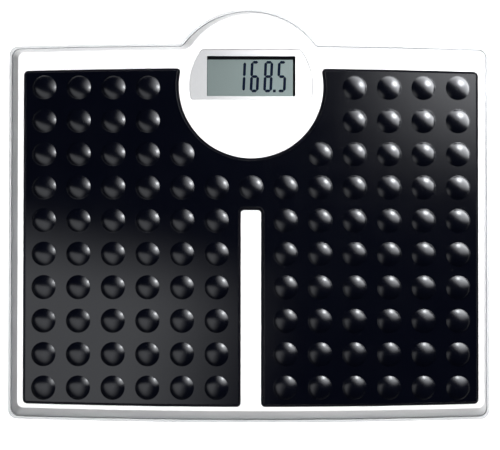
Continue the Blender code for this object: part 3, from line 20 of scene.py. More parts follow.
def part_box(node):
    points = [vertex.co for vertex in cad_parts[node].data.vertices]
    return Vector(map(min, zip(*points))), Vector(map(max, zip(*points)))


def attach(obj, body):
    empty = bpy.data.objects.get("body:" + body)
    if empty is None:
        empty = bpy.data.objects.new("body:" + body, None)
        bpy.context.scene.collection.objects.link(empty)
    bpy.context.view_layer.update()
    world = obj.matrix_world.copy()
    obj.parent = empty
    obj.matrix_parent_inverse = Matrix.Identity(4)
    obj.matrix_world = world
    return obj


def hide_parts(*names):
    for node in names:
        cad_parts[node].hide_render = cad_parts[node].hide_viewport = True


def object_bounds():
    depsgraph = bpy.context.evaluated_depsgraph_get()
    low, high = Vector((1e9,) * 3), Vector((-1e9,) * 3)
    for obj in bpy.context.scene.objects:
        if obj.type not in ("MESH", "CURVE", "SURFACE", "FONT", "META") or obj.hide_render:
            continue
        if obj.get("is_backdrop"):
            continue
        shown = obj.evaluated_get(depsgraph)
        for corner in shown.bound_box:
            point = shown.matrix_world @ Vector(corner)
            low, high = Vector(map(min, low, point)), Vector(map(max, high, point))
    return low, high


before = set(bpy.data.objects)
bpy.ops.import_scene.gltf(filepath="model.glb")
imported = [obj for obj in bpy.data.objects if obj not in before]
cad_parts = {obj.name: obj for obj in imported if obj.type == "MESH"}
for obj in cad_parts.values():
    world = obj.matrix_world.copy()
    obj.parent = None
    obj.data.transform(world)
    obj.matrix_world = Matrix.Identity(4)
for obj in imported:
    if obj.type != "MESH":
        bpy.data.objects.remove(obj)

LOG = logging.getLogger("bathroom_scale")
MAT_PLATE = "grip_mat_dressed"
FLAT_PIECES = (MAT_PLATE, "display_lens", "lcd_panel", "lcd_digits", "display_gasket")
FULL_TURN = 2 * math.pi
QUARTER = math.pi / 2
SMOOTH_ANGLE = math.radians(32)
BEVEL_ANGLE = math.radians(40)
FIT_GAP = 0.0003
CUT_OVERRUN = 0.003
UP = (0, 0, 1)
ALONG_X = (1, 0, 0)
ALONG_Y = (0, 1, 0)
FINE_SIDES = 64
PLAIN_SIDES = 48
HEAD_SIDES = 40
SCREW_SIDES = 32
PIN_SIDES = 24
WIRE_SIDES = 10

Point = tuple[float, float]
Place = tuple[float, float, float]
Colour = tuple[float, float, float]
Signal = bpy.types.NodeSocket


# Outlines


def arc(centre: Point, radius: float, start: float, end: float, steps: int) -> list[Point]:
    """Points from one angle to another about a centre.

    Args:
        centre: The centre of the arc.
        radius: Its radius.
        start: The first angle.
        end: The last angle.
        steps: The number of equal spans.

    Returns:
        The points, both ends included.
    """
    angles = [start + (end - start) * i / steps for i in range(steps + 1)]
    return [(centre[0] + radius * math.cos(a), centre[1] + radius * math.sin(a)) for a in angles]


def angle_to(start: Point, end: Point) -> float:
    """The direction from one point to another, from 0 to a full turn."""
    return math.atan2(end[1] - start[1], end[0] - start[0]) % FULL_TURN


def circles_meet(low: Point, low_radius: float, high: Point, high_radius: float) -> Point:
    """Finds where two circles on the Y axis meet.

    Args:
        low: The centre of the circle in front.
        low_radius: Its radius.
        high: The centre of the circle behind.
        high_radius: Its radius.

    Returns:
        The meeting point on the +X side.
    """
    apart = high[1] - low[1]
    y = (apart**2 + low_radius**2 - high_radius**2) / (2 * apart)
    return (math.sqrt(max(low_radius**2 - y**2, 0)), low[1] + y)


def mirrored(half: list[Point]) -> list[Point]:
    """A whole outline from its +X half, whose first and last points lie on the Y axis."""
    return half + [(-x, y) for x, y in half[-2:0:-1]]


def rounded_rectangle(
    half_x: float, front: float, rear: float, corner: float, steps: int = 6
) -> list[Point]:
    """Draws a rectangle across the Y axis, with rounded corners.

    Args:
        half_x: Half its width.
        front: Its front edge.
        rear: Its rear edge.
        corner: The radius of its corners.
        steps: The number of spans in a corner.

    Returns:
        The outline.
    """
    half = [(0.0, front)]
    half += arc((half_x - corner, front + corner), corner, -QUARTER, 0, steps)
    half += arc((half_x - corner, rear - corner), corner, 0, QUARTER, steps)
    return mirrored(half + [(0.0, rear)])


def raised(outline: Iterable[Point], z: float) -> list[Vector]:
    """The outline's points at one height."""
    return [Vector((x, y, z)) for x, y in outline]


@dataclass(frozen=True)
class BodyPlan:
    """Sizes of the whole body, in metres, and the outline that every shell follows."""

    width: float = 0.433
    depth: float = 0.373
    pod_reach: float = 0.0311
    edge_bow: float = 0.0035
    corner_radius: float = 0.008
    rim_corner_radius: float = 0.0055
    pod_radius: float = 0.0764
    pod_fillet: float = 0.003
    rim_pod_fillet: float = 0.0124
    rim_inset: float = 0.0130
    rim_height: float = 0.0405
    seam_inset: float = 0.0025
    seam_height: float = 0.0175
    tray_bottom: float = 0.0080
    tray_floor: float = 0.0022
    deck: float = 0.0035
    bow_steps: int = 16
    corner_steps: int = 10
    pod_steps: int = 44

    @property
    def half_width(self) -> float:
        """Half the body's width."""
        return self.width / 2

    @property
    def front_y(self) -> float:
        """The front edge's place at the middle."""
        return -self.depth / 2

    @property
    def rear_y(self) -> float:
        """The rear edge's place, without the pod."""
        return self.depth / 2 - self.pod_reach

    @property
    def pod(self) -> Point:
        """The centre of the pod and of the display's disc."""
        return (0.0, self.depth / 2 - self.pod_radius)

    @property
    def bow_radius(self) -> float:
        """The radius of the bowed front and rear edges."""
        return (self.half_width**2 + self.edge_bow**2) / (2 * self.edge_bow)

    @property
    def floor_top(self) -> float:
        """The height of the tray's floor."""
        return self.tray_bottom + self.tray_floor

    @property
    def ceiling(self) -> float:
        """The height of the underside of the cover's deck."""
        return self.rim_height - self.deck

    @property
    def under_tray(self) -> float:
        """A height below the tray, from which its cuts start."""
        return self.tray_bottom - CUT_OVERRUN

    @property
    def tray_root(self) -> float:
        """The height inside the tray's floor from which its walls and bosses start."""
        return self.floor_top - self.tray_floor / 2

    @staticmethod
    def corner_on_bow(bow_y: float, bow: float, half_width: float, radius: float, side: int) -> Point:
        """Finds the centre of a corner's arc between a bowed edge and a straight one.

        Args:
            bow_y: The Y place of the bow's centre.
            bow: The bow's radius.
            half_width: The place of the straight edge.
            radius: The corner's radius.
            side: -1 in front, 1 behind.

        Returns:
            The centre, on the +X side.
        """
        x = half_width - radius
        return (x, bow_y + side * math.sqrt((bow - radius) ** 2 - x**2))

    def outline(self, inset: float) -> list[Point]:
        """Draws the body's outline with the pod and its fillets.

        Args:
            inset: How far it is drawn in from the widest outline.

        Returns:
            The outline.
        """
        share = min(inset / self.rim_inset, 1)
        corner = self.corner_radius + (self.rim_corner_radius - self.corner_radius) * share
        fillet = self.pod_fillet + (self.rim_pod_fillet - self.pod_fillet) * share
        half_width, bow = self.half_width - inset, self.bow_radius - inset
        front_bow = (0.0, self.front_y + self.bow_radius)
        rear_bow = (0.0, self.rear_y - self.bow_radius)
        front_corner = self.corner_on_bow(front_bow[1], bow, half_width, corner, -1)
        rear_corner = self.corner_on_bow(rear_bow[1], bow, half_width, corner, 1)
        pod_radius = self.pod_radius - inset
        neck = circles_meet(rear_bow, bow + fillet, self.pod, pod_radius + fillet)
        front_turn, rear_turn = angle_to(front_bow, front_corner), angle_to(rear_bow, rear_corner)
        half = arc(front_bow, bow, 3 * QUARTER, front_turn, self.bow_steps)[:-1]
        half += arc(front_corner, corner, front_turn, FULL_TURN, self.corner_steps)
        half += arc(rear_corner, corner, 0, rear_turn, self.corner_steps)
        half += arc(rear_bow, bow, rear_turn, angle_to(rear_bow, neck), self.corner_steps)[1:-1]
        half += arc(neck, fillet, angle_to(neck, rear_bow), angle_to(neck, self.pod), self.corner_steps)
        half += arc(self.pod, pod_radius, angle_to(self.pod, neck), QUARTER, self.pod_steps)[1:]
        return mirrored(half)


PLAN = BodyPlan()


# Meshes


class Draft:
    """A mesh in the making."""

    def __init__(self) -> None:
        """Starts empty."""
        self.bm = bmesh.new()

    def loft(self, rings: Sequence[Sequence[Vector]], ends: bool = True) -> "Draft":
        """Joins rings of equally many points.

        Args:
            rings: The rings, from one end to the other.
            ends: Whether both ends are capped. If not, the last ring joins the first.

        Returns:
            The draft.
        """
        loops = [[self.bm.verts.new(point) for point in ring] for ring in rings]
        pairs = list(zip(loops, loops[1:])) + ([] if ends else [(loops[-1], loops[0])])
        for low, high in pairs:
            for i in range(len(low)):
                self.bm.faces.new((low[i - 1], low[i], high[i], high[i - 1]))
        if ends:
            self.bm.faces.new(loops[0])
            self.bm.faces.new(loops[-1])
        return self

    def prism(self, outline: Sequence[Point], bottom: float, top: float) -> "Draft":
        """An upright body with one outline."""
        return self.loft((raised(outline, bottom), raised(outline, top)))

    def block(self, low: Place, high: Place) -> "Draft":
        """A box between two corners, for cuts and for parts that a bevel rounds."""
        corners = [(low[0], low[1]), (high[0], low[1]), (high[0], high[1]), (low[0], high[1])]
        return self.prism(corners, low[2], high[2])

    def slab(self, centre: Point, half: Point, bottom: float, top: float) -> "Draft":
        """A box about an upright axis."""
        (x, y), (across, along) = centre, half
        return self.block((x - across, y - along, bottom), (x + across, y + along, top))

    def turned(
        self, profile: Sequence[Point], centre: Place = (0, 0, 0), sides: int = PLAIN_SIDES, axis: Place = UP
    ) -> "Draft":
        """Turns a profile about an axis.

        Args:
            profile: Points of radius and height, from end to end.
            centre: The axis's starting point.
            sides: The number of sides.
            axis: The axis's direction.

        Returns:
            The draft.
        """
        angles = [FULL_TURN * i / sides for i in range(sides)]
        loops = []
        for radius, height in profile:
            if radius:
                ring = [(radius * math.cos(a), radius * math.sin(a), height) for a in angles]
                loops.append([self.bm.verts.new(point) for point in ring])
            else:
                loops.append([self.bm.verts.new((0, 0, height))] * sides)
        for low, high in zip(loops, loops[1:]):
            for i in range(sides):
                corners = (low[i - 1], low[i], high[i], high[i - 1])
                self.bm.faces.new(tuple(dict.fromkeys(corners)))
        for end in (loops[0], loops[-1]):
            if end[0] is not end[1]:
                self.bm.faces.new(end)
        turn = Vector(UP).rotation_difference(Vector(axis)).to_matrix().to_4x4()
        made = list(dict.fromkeys(vert for loop in loops for vert in loop))
        bmesh.ops.transform(self.bm, matrix=Matrix.Translation(centre) @ turn, verts=made)
        return self

    def rod(
        self, radius: float, ends: Point, centre: Place, sides: int = PLAIN_SIDES, axis: Place = UP
    ) -> "Draft":
        """A straight round bar between two places along its axis."""
        return self.turned([(radius, end) for end in ends], centre, sides, axis)

    def wire(self, route: Sequence[Vector], radius: float, sides: int = WIRE_SIDES) -> "Draft":
        """Draws a round wire along a route, with closed ends.

        Args:
            route: Its points.
            radius: Its radius.
            sides: The number of sides.

        Returns:
            The draft.
        """
        rings = []
        side = (route[1] - route[0]).orthogonal().normalized()
        for i, point in enumerate(route):
            ahead = route[min(i + 1, len(route) - 1)] - route[max(i - 1, 0)]
            ahead.normalize()
            side = (side - ahead * side.dot(ahead)).normalized()
            up = ahead.cross(side)
            angles = [FULL_TURN * k / sides for k in range(sides)]
            rings.append([point + radius * (side * math.cos(a) + up * math.sin(a)) for a in angles])
        return self.loft(rings)

    def moved(self, matrix: Matrix) -> "Draft":
        """Moves all of it."""
        self.bm.transform(matrix)
        return self

    def mesh(self, name: str) -> bpy.types.Mesh:
        """Ends the draft.

        Args:
            name: The mesh's name.

        Returns:
            The mesh, with its faces out.
        """
        bmesh.ops.recalc_face_normals(self.bm, faces=self.bm.faces)
        mesh = bpy.data.meshes.new(name)
        self.bm.to_mesh(mesh)
        self.bm.free()
        return mesh


def rounded(low: Point, high: Point, steps: int, hollow: bool = False) -> list[Point]:
    """A quarter round between two points of a profile.

    Args:
        low: The first point.
        high: The last point.
        steps: The number of spans.
        hollow: Whether it bends the other way.

    Returns:
        The points, both ends included.
    """
    made = []
    for i in range(steps + 1):
        turn = QUARTER * i / steps
        first, last = math.sin(turn), 1 - math.cos(turn)
        if hollow:
            first, last = 1 - math.cos(turn), math.sin(turn)
        made.append((low[0] + (high[0] - low[0]) * first, low[1] + (high[1] - low[1]) * last))
    return made


def placed(name: str, data: bpy.types.ID) -> bpy.types.Object:
    """Puts a new object in the scene.

    Args:
        name: Its name.
        data: Its mesh, light or camera.

    Returns:
        The object.
    """
    obj = bpy.data.objects.new(name, data)
    bpy.context.scene.collection.objects.link(obj)
    return obj


def shape(
    name: str,
    body: Draft,
    add: Draft | None = None,
    cut: Draft | None = None,
    bevel: float = 0.0,
    bevel_steps: int = 2,
    at: Place = (0, 0, 0),
) -> bpy.types.Object:
    """Makes one object from drafts, with Blender's own tools applied.

    Args:
        name: The object's name.
        body: The main form.
        add: Forms joined to it.
        cut: Forms cut from it.
        bevel: The width of the round on its sharp edges.
        bevel_steps: The number of spans in that round.
        at: Where its own origin stands.

    Returns:
        The object, with one settled mesh.
    """
    obj = placed(name, body.mesh(name))
    helpers = []
    for draft, operation in ((add, "UNION"), (cut, "DIFFERENCE")):
        if draft is None:
            continue
        helpers.append(placed(f"{name}_{operation.lower()}", draft.mesh(name)))
        modifier = obj.modifiers.new(operation, "BOOLEAN")
        modifier.operation, modifier.object, modifier.use_self = operation, helpers[-1], True
    if bevel:
        modifier = obj.modifiers.new("bevel", "BEVEL")
        modifier.width, modifier.segments = bevel, bevel_steps
        modifier.limit_method, modifier.angle_limit = "ANGLE", BEVEL_ANGLE
        modifier.miter_outer = "MITER_ARC"
    graph = bpy.context.evaluated_depsgraph_get()
    settled = bpy.data.meshes.new_from_object(obj.evaluated_get(graph))
    for helper in helpers:
        bpy.data.objects.remove(helper, do_unlink=True)
    obj.modifiers.clear()
    settled.shade_smooth()
    settled.set_sharp_from_angle(angle=SMOOTH_ANGLE)
    obj.data = settled
    obj.modifiers.new("weighted normals", "WEIGHTED_NORMAL").keep_sharp = True
    obj.location = at
    return obj


# Finishes


class Wiring:
    """A node tree in the making."""

    def __init__(self, tree: bpy.types.NodeTree) -> None:
        """Takes the tree that it works on."""
        self.tree = tree

    def join(self, node: bpy.types.Node, values: dict[str | int, object]) -> bpy.types.Node:
        """Sets a node's inputs, or joins sockets to them.

        Args:
            node: The node.
            values: For an input's name or number, a value or a socket to join.

        Returns:
            The node.
        """
        for name, value in values.items():
            if isinstance(value, Signal):
                self.tree.links.new(value, node.inputs[name])
            else:
                node.inputs[name].default_value = value
        return node

    def add(
        self, kind: str, inputs: dict[str | int, object] | None = None, **settings: object
    ) -> bpy.types.Node:
        """Adds a node.

        Args:
            kind: The node's type without "ShaderNode".
            inputs: Its inputs, as join takes them.
            **settings: The node's own properties.

        Returns:
            The node.
        """
        node = self.tree.nodes.new("ShaderNode" + kind)
        for name, value in settings.items():
            setattr(node, name, value)
        return self.join(node, inputs or {})

    def sum(self, operation: str, *values: object, clamp: bool = False) -> Signal:
        """Adds a Math node.

        Args:
            operation: Its operation.
            *values: Numbers or sockets.
            clamp: Whether the result is kept from 0 to 1.

        Returns:
            Its output.
        """
        return self.add("Math", dict(enumerate(values)), operation=operation, use_clamp=clamp).outputs[0]

    def blend(self, factor: object, first: object, second: object) -> Signal:
        """Adds a Mix node for two colours and returns its output."""
        return self.add("Mix", {0: factor, 6: first, 7: second}, data_type="RGBA").outputs[2]

    def scaled(self, colour: Signal, factor: object) -> Signal:
        """Multiplies a colour by a number."""
        return self.add("VectorMath", {0: colour, "Scale": factor}, operation="SCALE").outputs[0]

    def noise(self, vector: Signal, scale: object, detail: float) -> Signal:
        """Adds a Noise texture and returns its value."""
        return self.add("TexNoise", {"Vector": vector, "Scale": scale, "Detail": detail}).outputs["Fac"]

    def ramp(self, value: object, low: float, high: float, first: float = 0.0, last: float = 1.0) -> Signal:
        """Adds a smooth Map Range.

        Args:
            value: The value.
            low: Where it starts.
            high: Where it ends.
            first: The result at the start.
            last: The result at the end.

        Returns:
            Its output.
        """
        inputs = {0: value, 1: low, 2: high, 3: first, 4: last}
        return self.add("MapRange", inputs, interpolation_type="SMOOTHSTEP").outputs[0]


class Socket(Enum):
    """The kinds of socket that the shared groups use."""

    VALUE = "NodeSocketFloat"
    COLOUR = "NodeSocketColor"
    VECTOR = "NodeSocketVector"

    @classmethod
    def named(cls, label: str) -> "Socket":
        """The kind of a socket, which its name tells."""
        if label == "Vector":
            return cls.VECTOR
        return cls.COLOUR if label.endswith("Colour") else cls.VALUE


class SharedEffects:
    """Node groups that several finishes place with their own values, each built once."""

    @staticmethod
    def group(
        name: str, inputs: Sequence[str], outputs: Sequence[str]
    ) -> tuple[Wiring, bpy.types.NodeOutputs, bpy.types.Node]:
        """Starts a node group.

        Args:
            name: Its name.
            inputs: The names of its inputs.
            outputs: The names of its outputs.

        Returns:
            Its wiring, what it is given, and its output node.
        """
        tree = bpy.data.node_groups.new(name, "ShaderNodeTree")
        for side, labels in (("INPUT", inputs), ("OUTPUT", outputs)):
            for label in labels:
                tree.interface.new_socket(label, in_out=side, socket_type=Socket.named(label).value)
        given = tree.nodes.new("NodeGroupInput").outputs
        return Wiring(tree), given, tree.nodes.new("NodeGroupOutput")

    @staticmethod
    @cache
    def grain() -> bpy.types.NodeTree:
        """Fine relief of a moulded or cast surface, with soft changes of tone and gloss.

        Returns:
            The group.
        """
        wiring, given, made = SharedEffects.group(
            "moulded_grain",
            ("Vector", "Scale", "Colour", "Tone Spread", "Roughness", "Roughness Spread"),
            ("Colour", "Roughness", "Height"),
        )
        broad_share, middle, fine_share = 0.03, 0.5, 0.4
        broad_scale = wiring.sum("MULTIPLY", given["Scale"], broad_share)
        fine = wiring.noise(given["Vector"], given["Scale"], 3.0)
        broad = wiring.noise(given["Vector"], broad_scale, 4.0)
        mottle = wiring.sum("SUBTRACT", broad, middle)
        tone = wiring.sum("MULTIPLY_ADD", mottle, given["Tone Spread"], 1.0)
        both = wiring.sum("MULTIPLY_ADD", fine, fine_share, broad)
        speckle = wiring.sum("SUBTRACT", both, middle * (1 + fine_share))
        gloss = wiring.sum("MULTIPLY_ADD", speckle, given["Roughness Spread"], given["Roughness"])
        tinted = wiring.scaled(given["Colour"], tone)
        wiring.join(made, {"Colour": tinted, "Roughness": gloss, "Height": fine})
        return wiring.tree

    @staticmethod
    @cache
    def wear_and_crease_shade() -> bpy.types.NodeTree:
        """Lighter, duller edges where a surface is rubbed, and a trace of painted shade that darkens its
        corners and creases.

        Returns:
            The group.
        """
        wiring, given, made = SharedEffects.group(
            "edge_wear_and_crease_shade",
            ("Vector", "Colour", "Rubbed Colour", "Amount", "Roughness"),
            ("Colour", "Roughness"),
        )
        patch_scale, patches, crease_shade_share, dulling = 260.0, (0.35, 0.7, 0.2, 1.0), 0.5, 0.2
        edges, creases, crease_shade_colour = (0.515, 0.60), (0.40, 0.485, 1.0, 0.0), (0.12, 0.11, 0.10, 1.0)
        point = wiring.add("NewGeometry").outputs["Pointiness"]
        patchy = wiring.ramp(wiring.noise(given["Vector"], patch_scale, 3.0), *patches)
        rub = wiring.sum("MULTIPLY", wiring.ramp(point, *edges), patchy)
        mask = wiring.sum("MULTIPLY", rub, given["Amount"], clamp=True)
        # Painted shade: hollow corners and creases, found by their low pointiness, are darkened.
        crease_shade = wiring.sum("MULTIPLY", wiring.ramp(point, *creases), given["Amount"], clamp=True)
        rubbed = wiring.blend(mask, given["Colour"], given["Rubbed Colour"])
        crease_shaded = wiring.blend(wiring.sum("MULTIPLY", crease_shade, crease_shade_share), rubbed, crease_shade_colour)
        dull = wiring.sum("MULTIPLY_ADD", mask, dulling, given["Roughness"])
        wiring.join(made, {"Colour": crease_shaded, "Roughness": dull})
        return wiring.tree

    @staticmethod
    @cache
    def dust() -> bpy.types.NodeTree:
        """A thin film of dust on what faces up, gathered in soft patches and a few specks.

        Returns:
            The group.
        """
        wiring, given, made = SharedEffects.group(
            "settled_dust",
            ("Vector", "Colour", "Dust Colour", "Amount", "Roughness"),
            ("Colour", "Roughness"),
        )
        patch_scale, patches, facing_up = 22.0, (0.42, 0.75, 0.15, 1.0), (0.3, 0.95)
        speck_scale, specks, speck_weight, dulling = 1400.0, (0.72, 0.80), 3.0, 0.5
        normal = wiring.add("NewGeometry").outputs["Normal"]
        up = wiring.ramp(wiring.add("SeparateXYZ", {0: normal}).outputs["Z"], *facing_up)
        patchy = wiring.ramp(wiring.noise(given["Vector"], patch_scale, 5.0), *patches)
        specked = wiring.ramp(wiring.noise(given["Vector"], speck_scale, 1.0), *specks)
        film = wiring.sum("MULTIPLY", wiring.sum("MULTIPLY_ADD", specked, speck_weight, patchy), up)
        mask = wiring.sum("MULTIPLY", film, given["Amount"], clamp=True)
        dusted = wiring.blend(mask, given["Colour"], given["Dust Colour"])
        dull = wiring.sum("MULTIPLY_ADD", mask, dulling, given["Roughness"])
        wiring.join(made, {"Colour": dusted, "Roughness": dull})
        return wiring.tree

    @staticmethod
    @cache
    def brushing() -> bpy.types.NodeTree:
        """Fine parallel lines of a brushed, drawn or rolled surface.

        Returns:
            The group.
        """
        wiring, given, made = SharedEffects.group(
            "brushed_lines", ("Vector", "Scale", "Roughness", "Roughness Spread"), ("Roughness", "Height")
        )
        stretch, middle = (1.0, 0.02, 1.0), 0.5
        drawn = wiring.add("VectorMath", {0: given["Vector"], 1: stretch}, operation="MULTIPLY").outputs[0]
        lines = wiring.noise(drawn, given["Scale"], 4.0)
        swing = wiring.sum("SUBTRACT", lines, middle)
        gloss = wiring.sum("MULTIPLY_ADD", swing, given["Roughness Spread"], given["Roughness"])
        wiring.join(made, {"Roughness": gloss, "Height": lines})
        return wiring.tree


@dataclass(frozen=True)
class Finish:
    """One surface finish: a Principled shader with the shared effects at its own values.

    Scales are per metre and the relief is in metres. The slot is that of the CAD part, if its name differs.
    """

    name: str
    colour: Colour
    roughness: float
    slot: str = ""
    metallic: float = 0.0
    coat: float = 0.0
    specular: float = 0.5
    grain: float = 1500.0
    relief: float = 0.00001
    relief_strength: float = 0.6
    tone_spread: float = 0.06
    rough_spread: float = 0.10
    wear_and_crease_shade: float = 0.25
    rubbed: Colour = (0.9, 0.9, 0.9)
    dust: float = 0.0
    dusty: Colour = (0.55, 0.53, 0.50)
    brushed: bool = False

    @cache
    def material(self) -> bpy.types.Material:
        """Builds the material once.

        Returns:
            The material, with its nodes wired to one Principled shader.
        """
        material = bpy.data.materials.new(self.name)
        material.use_nodes = True
        wiring = Wiring(material.node_tree)
        where = wiring.add("TexCoord").outputs["Object"]
        colour, roughness, height = self.base(wiring, where)
        colour, roughness = self.used(wiring, where, colour, roughness)
        relief = {"Strength": self.relief_strength, "Distance": self.relief, "Height": height}
        values = {
            "Metallic": self.metallic,
            "Coat Weight": self.coat,
            "Specular IOR Level": self.specular,
            "Base Color": colour,
            "Roughness": roughness,
            "Normal": wiring.add("Bump", relief).outputs[0],
        }
        self.dressed(wiring, wiring.join(wiring.tree.nodes["Principled BSDF"], values))
        return material

    def base(self, wiring: Wiring, where: Signal) -> tuple[Signal, Signal, Signal]:
        """Lays down the surface as it was made.

        Args:
            wiring: The material's wiring.
            where: The place on the surface.

        Returns:
            Its colour, roughness and relief.
        """
        values = {"Vector": where, "Scale": self.grain, "Roughness Spread": self.rough_spread}
        tone = {"Colour": (*self.colour, 1.0), "Tone Spread": self.tone_spread, "Roughness": self.roughness}
        grain = wiring.add("Group", values | tone, node_tree=SharedEffects.grain()).outputs
        if not self.brushed:
            return grain["Colour"], grain["Roughness"], grain["Height"]
        values["Roughness"] = grain["Roughness"]
        lines = wiring.add("Group", values, node_tree=SharedEffects.brushing()).outputs
        return grain["Colour"], lines["Roughness"], lines["Height"]

    def used(
        self, wiring: Wiring, where: Signal, colour: Signal, roughness: Signal
    ) -> tuple[Signal, Signal]:
        """Adds what use leaves, rubbed edges and dust, and painted shade in corners and creases.

        Args:
            wiring: The material's wiring.
            where: The place on the surface.
            colour: The colour so far.
            roughness: The roughness so far.

        Returns:
            The new colour and roughness.
        """
        steps = (
            (SharedEffects.wear_and_crease_shade, self.wear_and_crease_shade, {"Rubbed Colour": (*self.rubbed, 1.0)}),
            (SharedEffects.dust, self.dust, {"Dust Colour": (*self.dusty, 1.0)}),
        )
        for group, amount, extra in steps:
            if amount:
                values = {"Vector": where, "Colour": colour, "Amount": amount, "Roughness": roughness}
                made = wiring.add("Group", values | extra, node_tree=group()).outputs
                colour, roughness = made["Colour"], made["Roughness"]
        return colour, roughness

    def dressed(self, wiring: Wiring, shader: bpy.types.Node) -> None:
        """Leaves room for what one kind of finish adds."""


@dataclass(frozen=True)
class ClearFinish(Finish):
    """Clear polished plastic over the read-out: seen through straight on, glossy at a slant."""

    clear: float = 0.04
    slanted: float = 0.55
    slant_blend: float = 0.35
    slant_end: float = 0.9

    def dressed(self, wiring: Wiring, shader: bpy.types.Node) -> None:
        """Makes it see-through.

        Args:
            wiring: The material's wiring.
            shader: The Principled shader.
        """
        facing = wiring.add("LayerWeight", {"Blend": self.slant_blend}).outputs["Facing"]
        alpha = wiring.ramp(facing, 0.0, self.slant_end, self.clear, self.slanted)
        wiring.join(shader, {"Alpha": alpha})


@dataclass(frozen=True)
class PaintedShadeFinish(Finish):
    """A finish with painted shade: a little darker at its left end, away from the lights on the right."""

    dark_x: float = -0.045
    light_x: float = 0.040
    painted_shade_tone: float = 0.72

    def base(self, wiring: Wiring, where: Signal) -> tuple[Signal, Signal, Signal]:
        """Lays down the colour, with painted shade that darkens it towards the left end.

        Args:
            wiring: The material's wiring.
            where: The place on the surface.

        Returns:
            Its colour, roughness and relief.
        """
        colour, roughness, height = super().base(wiring, where)
        along = wiring.add("SeparateXYZ", {0: where}).outputs["X"]
        # Painted shade: the colour is scaled down from full at light_x to the shade tone at dark_x.
        tone = wiring.ramp(along, self.dark_x, self.light_x, self.painted_shade_tone, 1.0)
        return wiring.scaled(colour, tone), roughness, height


WHITE = Finish("white_plastic", (0.86, 0.86, 0.87), 0.34, grain=2600.0, wear_and_crease_shade=0.10)
TRAY = Finish("tray_plastic", (0.52, 0.53, 0.54), 0.46, grain=2200.0, relief=0.00003, wear_and_crease_shade=0.15)
MAT = Finish(
    "mat_rubber",
    (0.0006, 0.0009, 0.0028),
    0.15,
    grain=1800.0,
    relief=0.000003,
    tone_spread=0.3,
    rough_spread=0.08,
    wear_and_crease_shade=0.0,
    dust=0.001,
)
MAT_DOMES = replace(MAT, name="mat_domes", roughness=0.24, slot="mat_rubber")
MAT_BORDER = Finish(
    "mat_border", (0.004, 0.004, 0.006), 0.75, "mat_rubber", specular=0.12, relief=0.00003, wear_and_crease_shade=0.0
)
FOOT_RUBBER = Finish(
    "foot_rubber", (0.035, 0.035, 0.038), 0.72, grain=900.0, relief=0.00006, tone_spread=0.4
)
# The silver mask carries painted shade: darker at its left end.
SILVER = PaintedShadeFinish(
    "silver_mask",
    (0.74, 0.745, 0.76),
    0.34,
    metallic=0.15,
    painted_shade_tone=0.60,
    grain=3000.0,
    relief=0.000004,
    brushed=True,
)
# The read-out opening's walls are near black: partly the mask's own dark plastic, partly painted shade inside
# the opening.
MASK_WALL_SHADE = Finish("mask_wall_shade", (0.015, 0.015, 0.017), 0.55, "silver_mask")
CLEAR = ClearFinish("clear_lens", (0.02, 0.02, 0.02), 0.06, specular=0.6, wear_and_crease_shade=0.0, relief=0.000001)
# The panel carries painted shade: darker at its left end.
READOUT = PaintedShadeFinish(
    "lcd_glass", (0.235, 0.290, 0.285), 0.42, relief=0.000002, tone_spread=0.05, wear_and_crease_shade=0.0
)
SEGMENT = Finish(
    "lcd_segment", (0.001, 0.005, 0.018), 0.5, "lcd_glass", specular=0.1, relief=0.000002, wear_and_crease_shade=0.0
)
GASKET = Finish("gasket_rubber", (0.003, 0.004, 0.005), 0.7, "black_plastic", specular=0.1, wear_and_crease_shade=0.0)
FRAME = Finish("frame_plastic", (0.80, 0.80, 0.78), 0.5)
STRIP = Finish("strip_rubber", (0.08, 0.08, 0.085), 0.7, brushed=True, relief=0.00004)
BOARD = Finish("circuit_board", (0.02, 0.14, 0.06), 0.38, tone_spread=0.3, coat=0.3)
BLACK = Finish("black_plastic", (0.02, 0.02, 0.022), 0.5, relief=0.00003)
CAN = Finish("can_blue", (0.03, 0.06, 0.20), 0.3, tone_spread=0.2)
STEEL = Finish(
    "steel",
    (0.56, 0.57, 0.58),
    0.32,
    metallic=1.0,
    brushed=True,
    rough_spread=0.2,
    relief=0.000006,
    wear_and_crease_shade=0.3,
    rubbed=(0.75, 0.75, 0.76),
)
CONTACT = Finish("contact_metal", (0.70, 0.69, 0.65), 0.26, metallic=1.0, brushed=True, relief=0.000004)
CARRIER = Finish("carrier_plastic", (0.13, 0.13, 0.14), 0.5)
CABLE = Finish("cable_grey", (0.30, 0.30, 0.31), 0.5)
LEAD_RED = Finish("lead_red", (0.45, 0.02, 0.02), 0.45)
LEAD_BLACK = Finish("lead_black", (0.015, 0.015, 0.016), 0.45)
SLEEVE = Finish("battery_label", (0.09, 0.15, 0.13), 0.28, tone_spread=0.12, coat=0.4)
SLEEVE_BAND = Finish("battery_band", (0.55, 0.56, 0.54), 0.3, "battery_label", coat=0.4)
RATING = Finish("rating_silver", (0.66, 0.67, 0.69), 0.36, metallic=0.5, brushed=True, relief=0.000003)


def present(obj: bpy.types.Object, body: str, *finishes: Finish) -> bpy.types.Object:
    """Dresses a piece, fixes it to its body and reports it.

    Args:
        obj: The piece, in place.
        body: The CAD body that it rides on.
        *finishes: Its finishes, in the order of its material slots.

    Returns:
        The piece.
    """
    obj.data.materials.clear()
    for finish in finishes:
        obj.data.materials.append(finish.material())
    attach(obj, body)
    finishes[0].slot or finishes[0].name
    LOG.info("%s rides on %s, %d faces", obj.name, body, len(obj.data.polygons))
    return obj


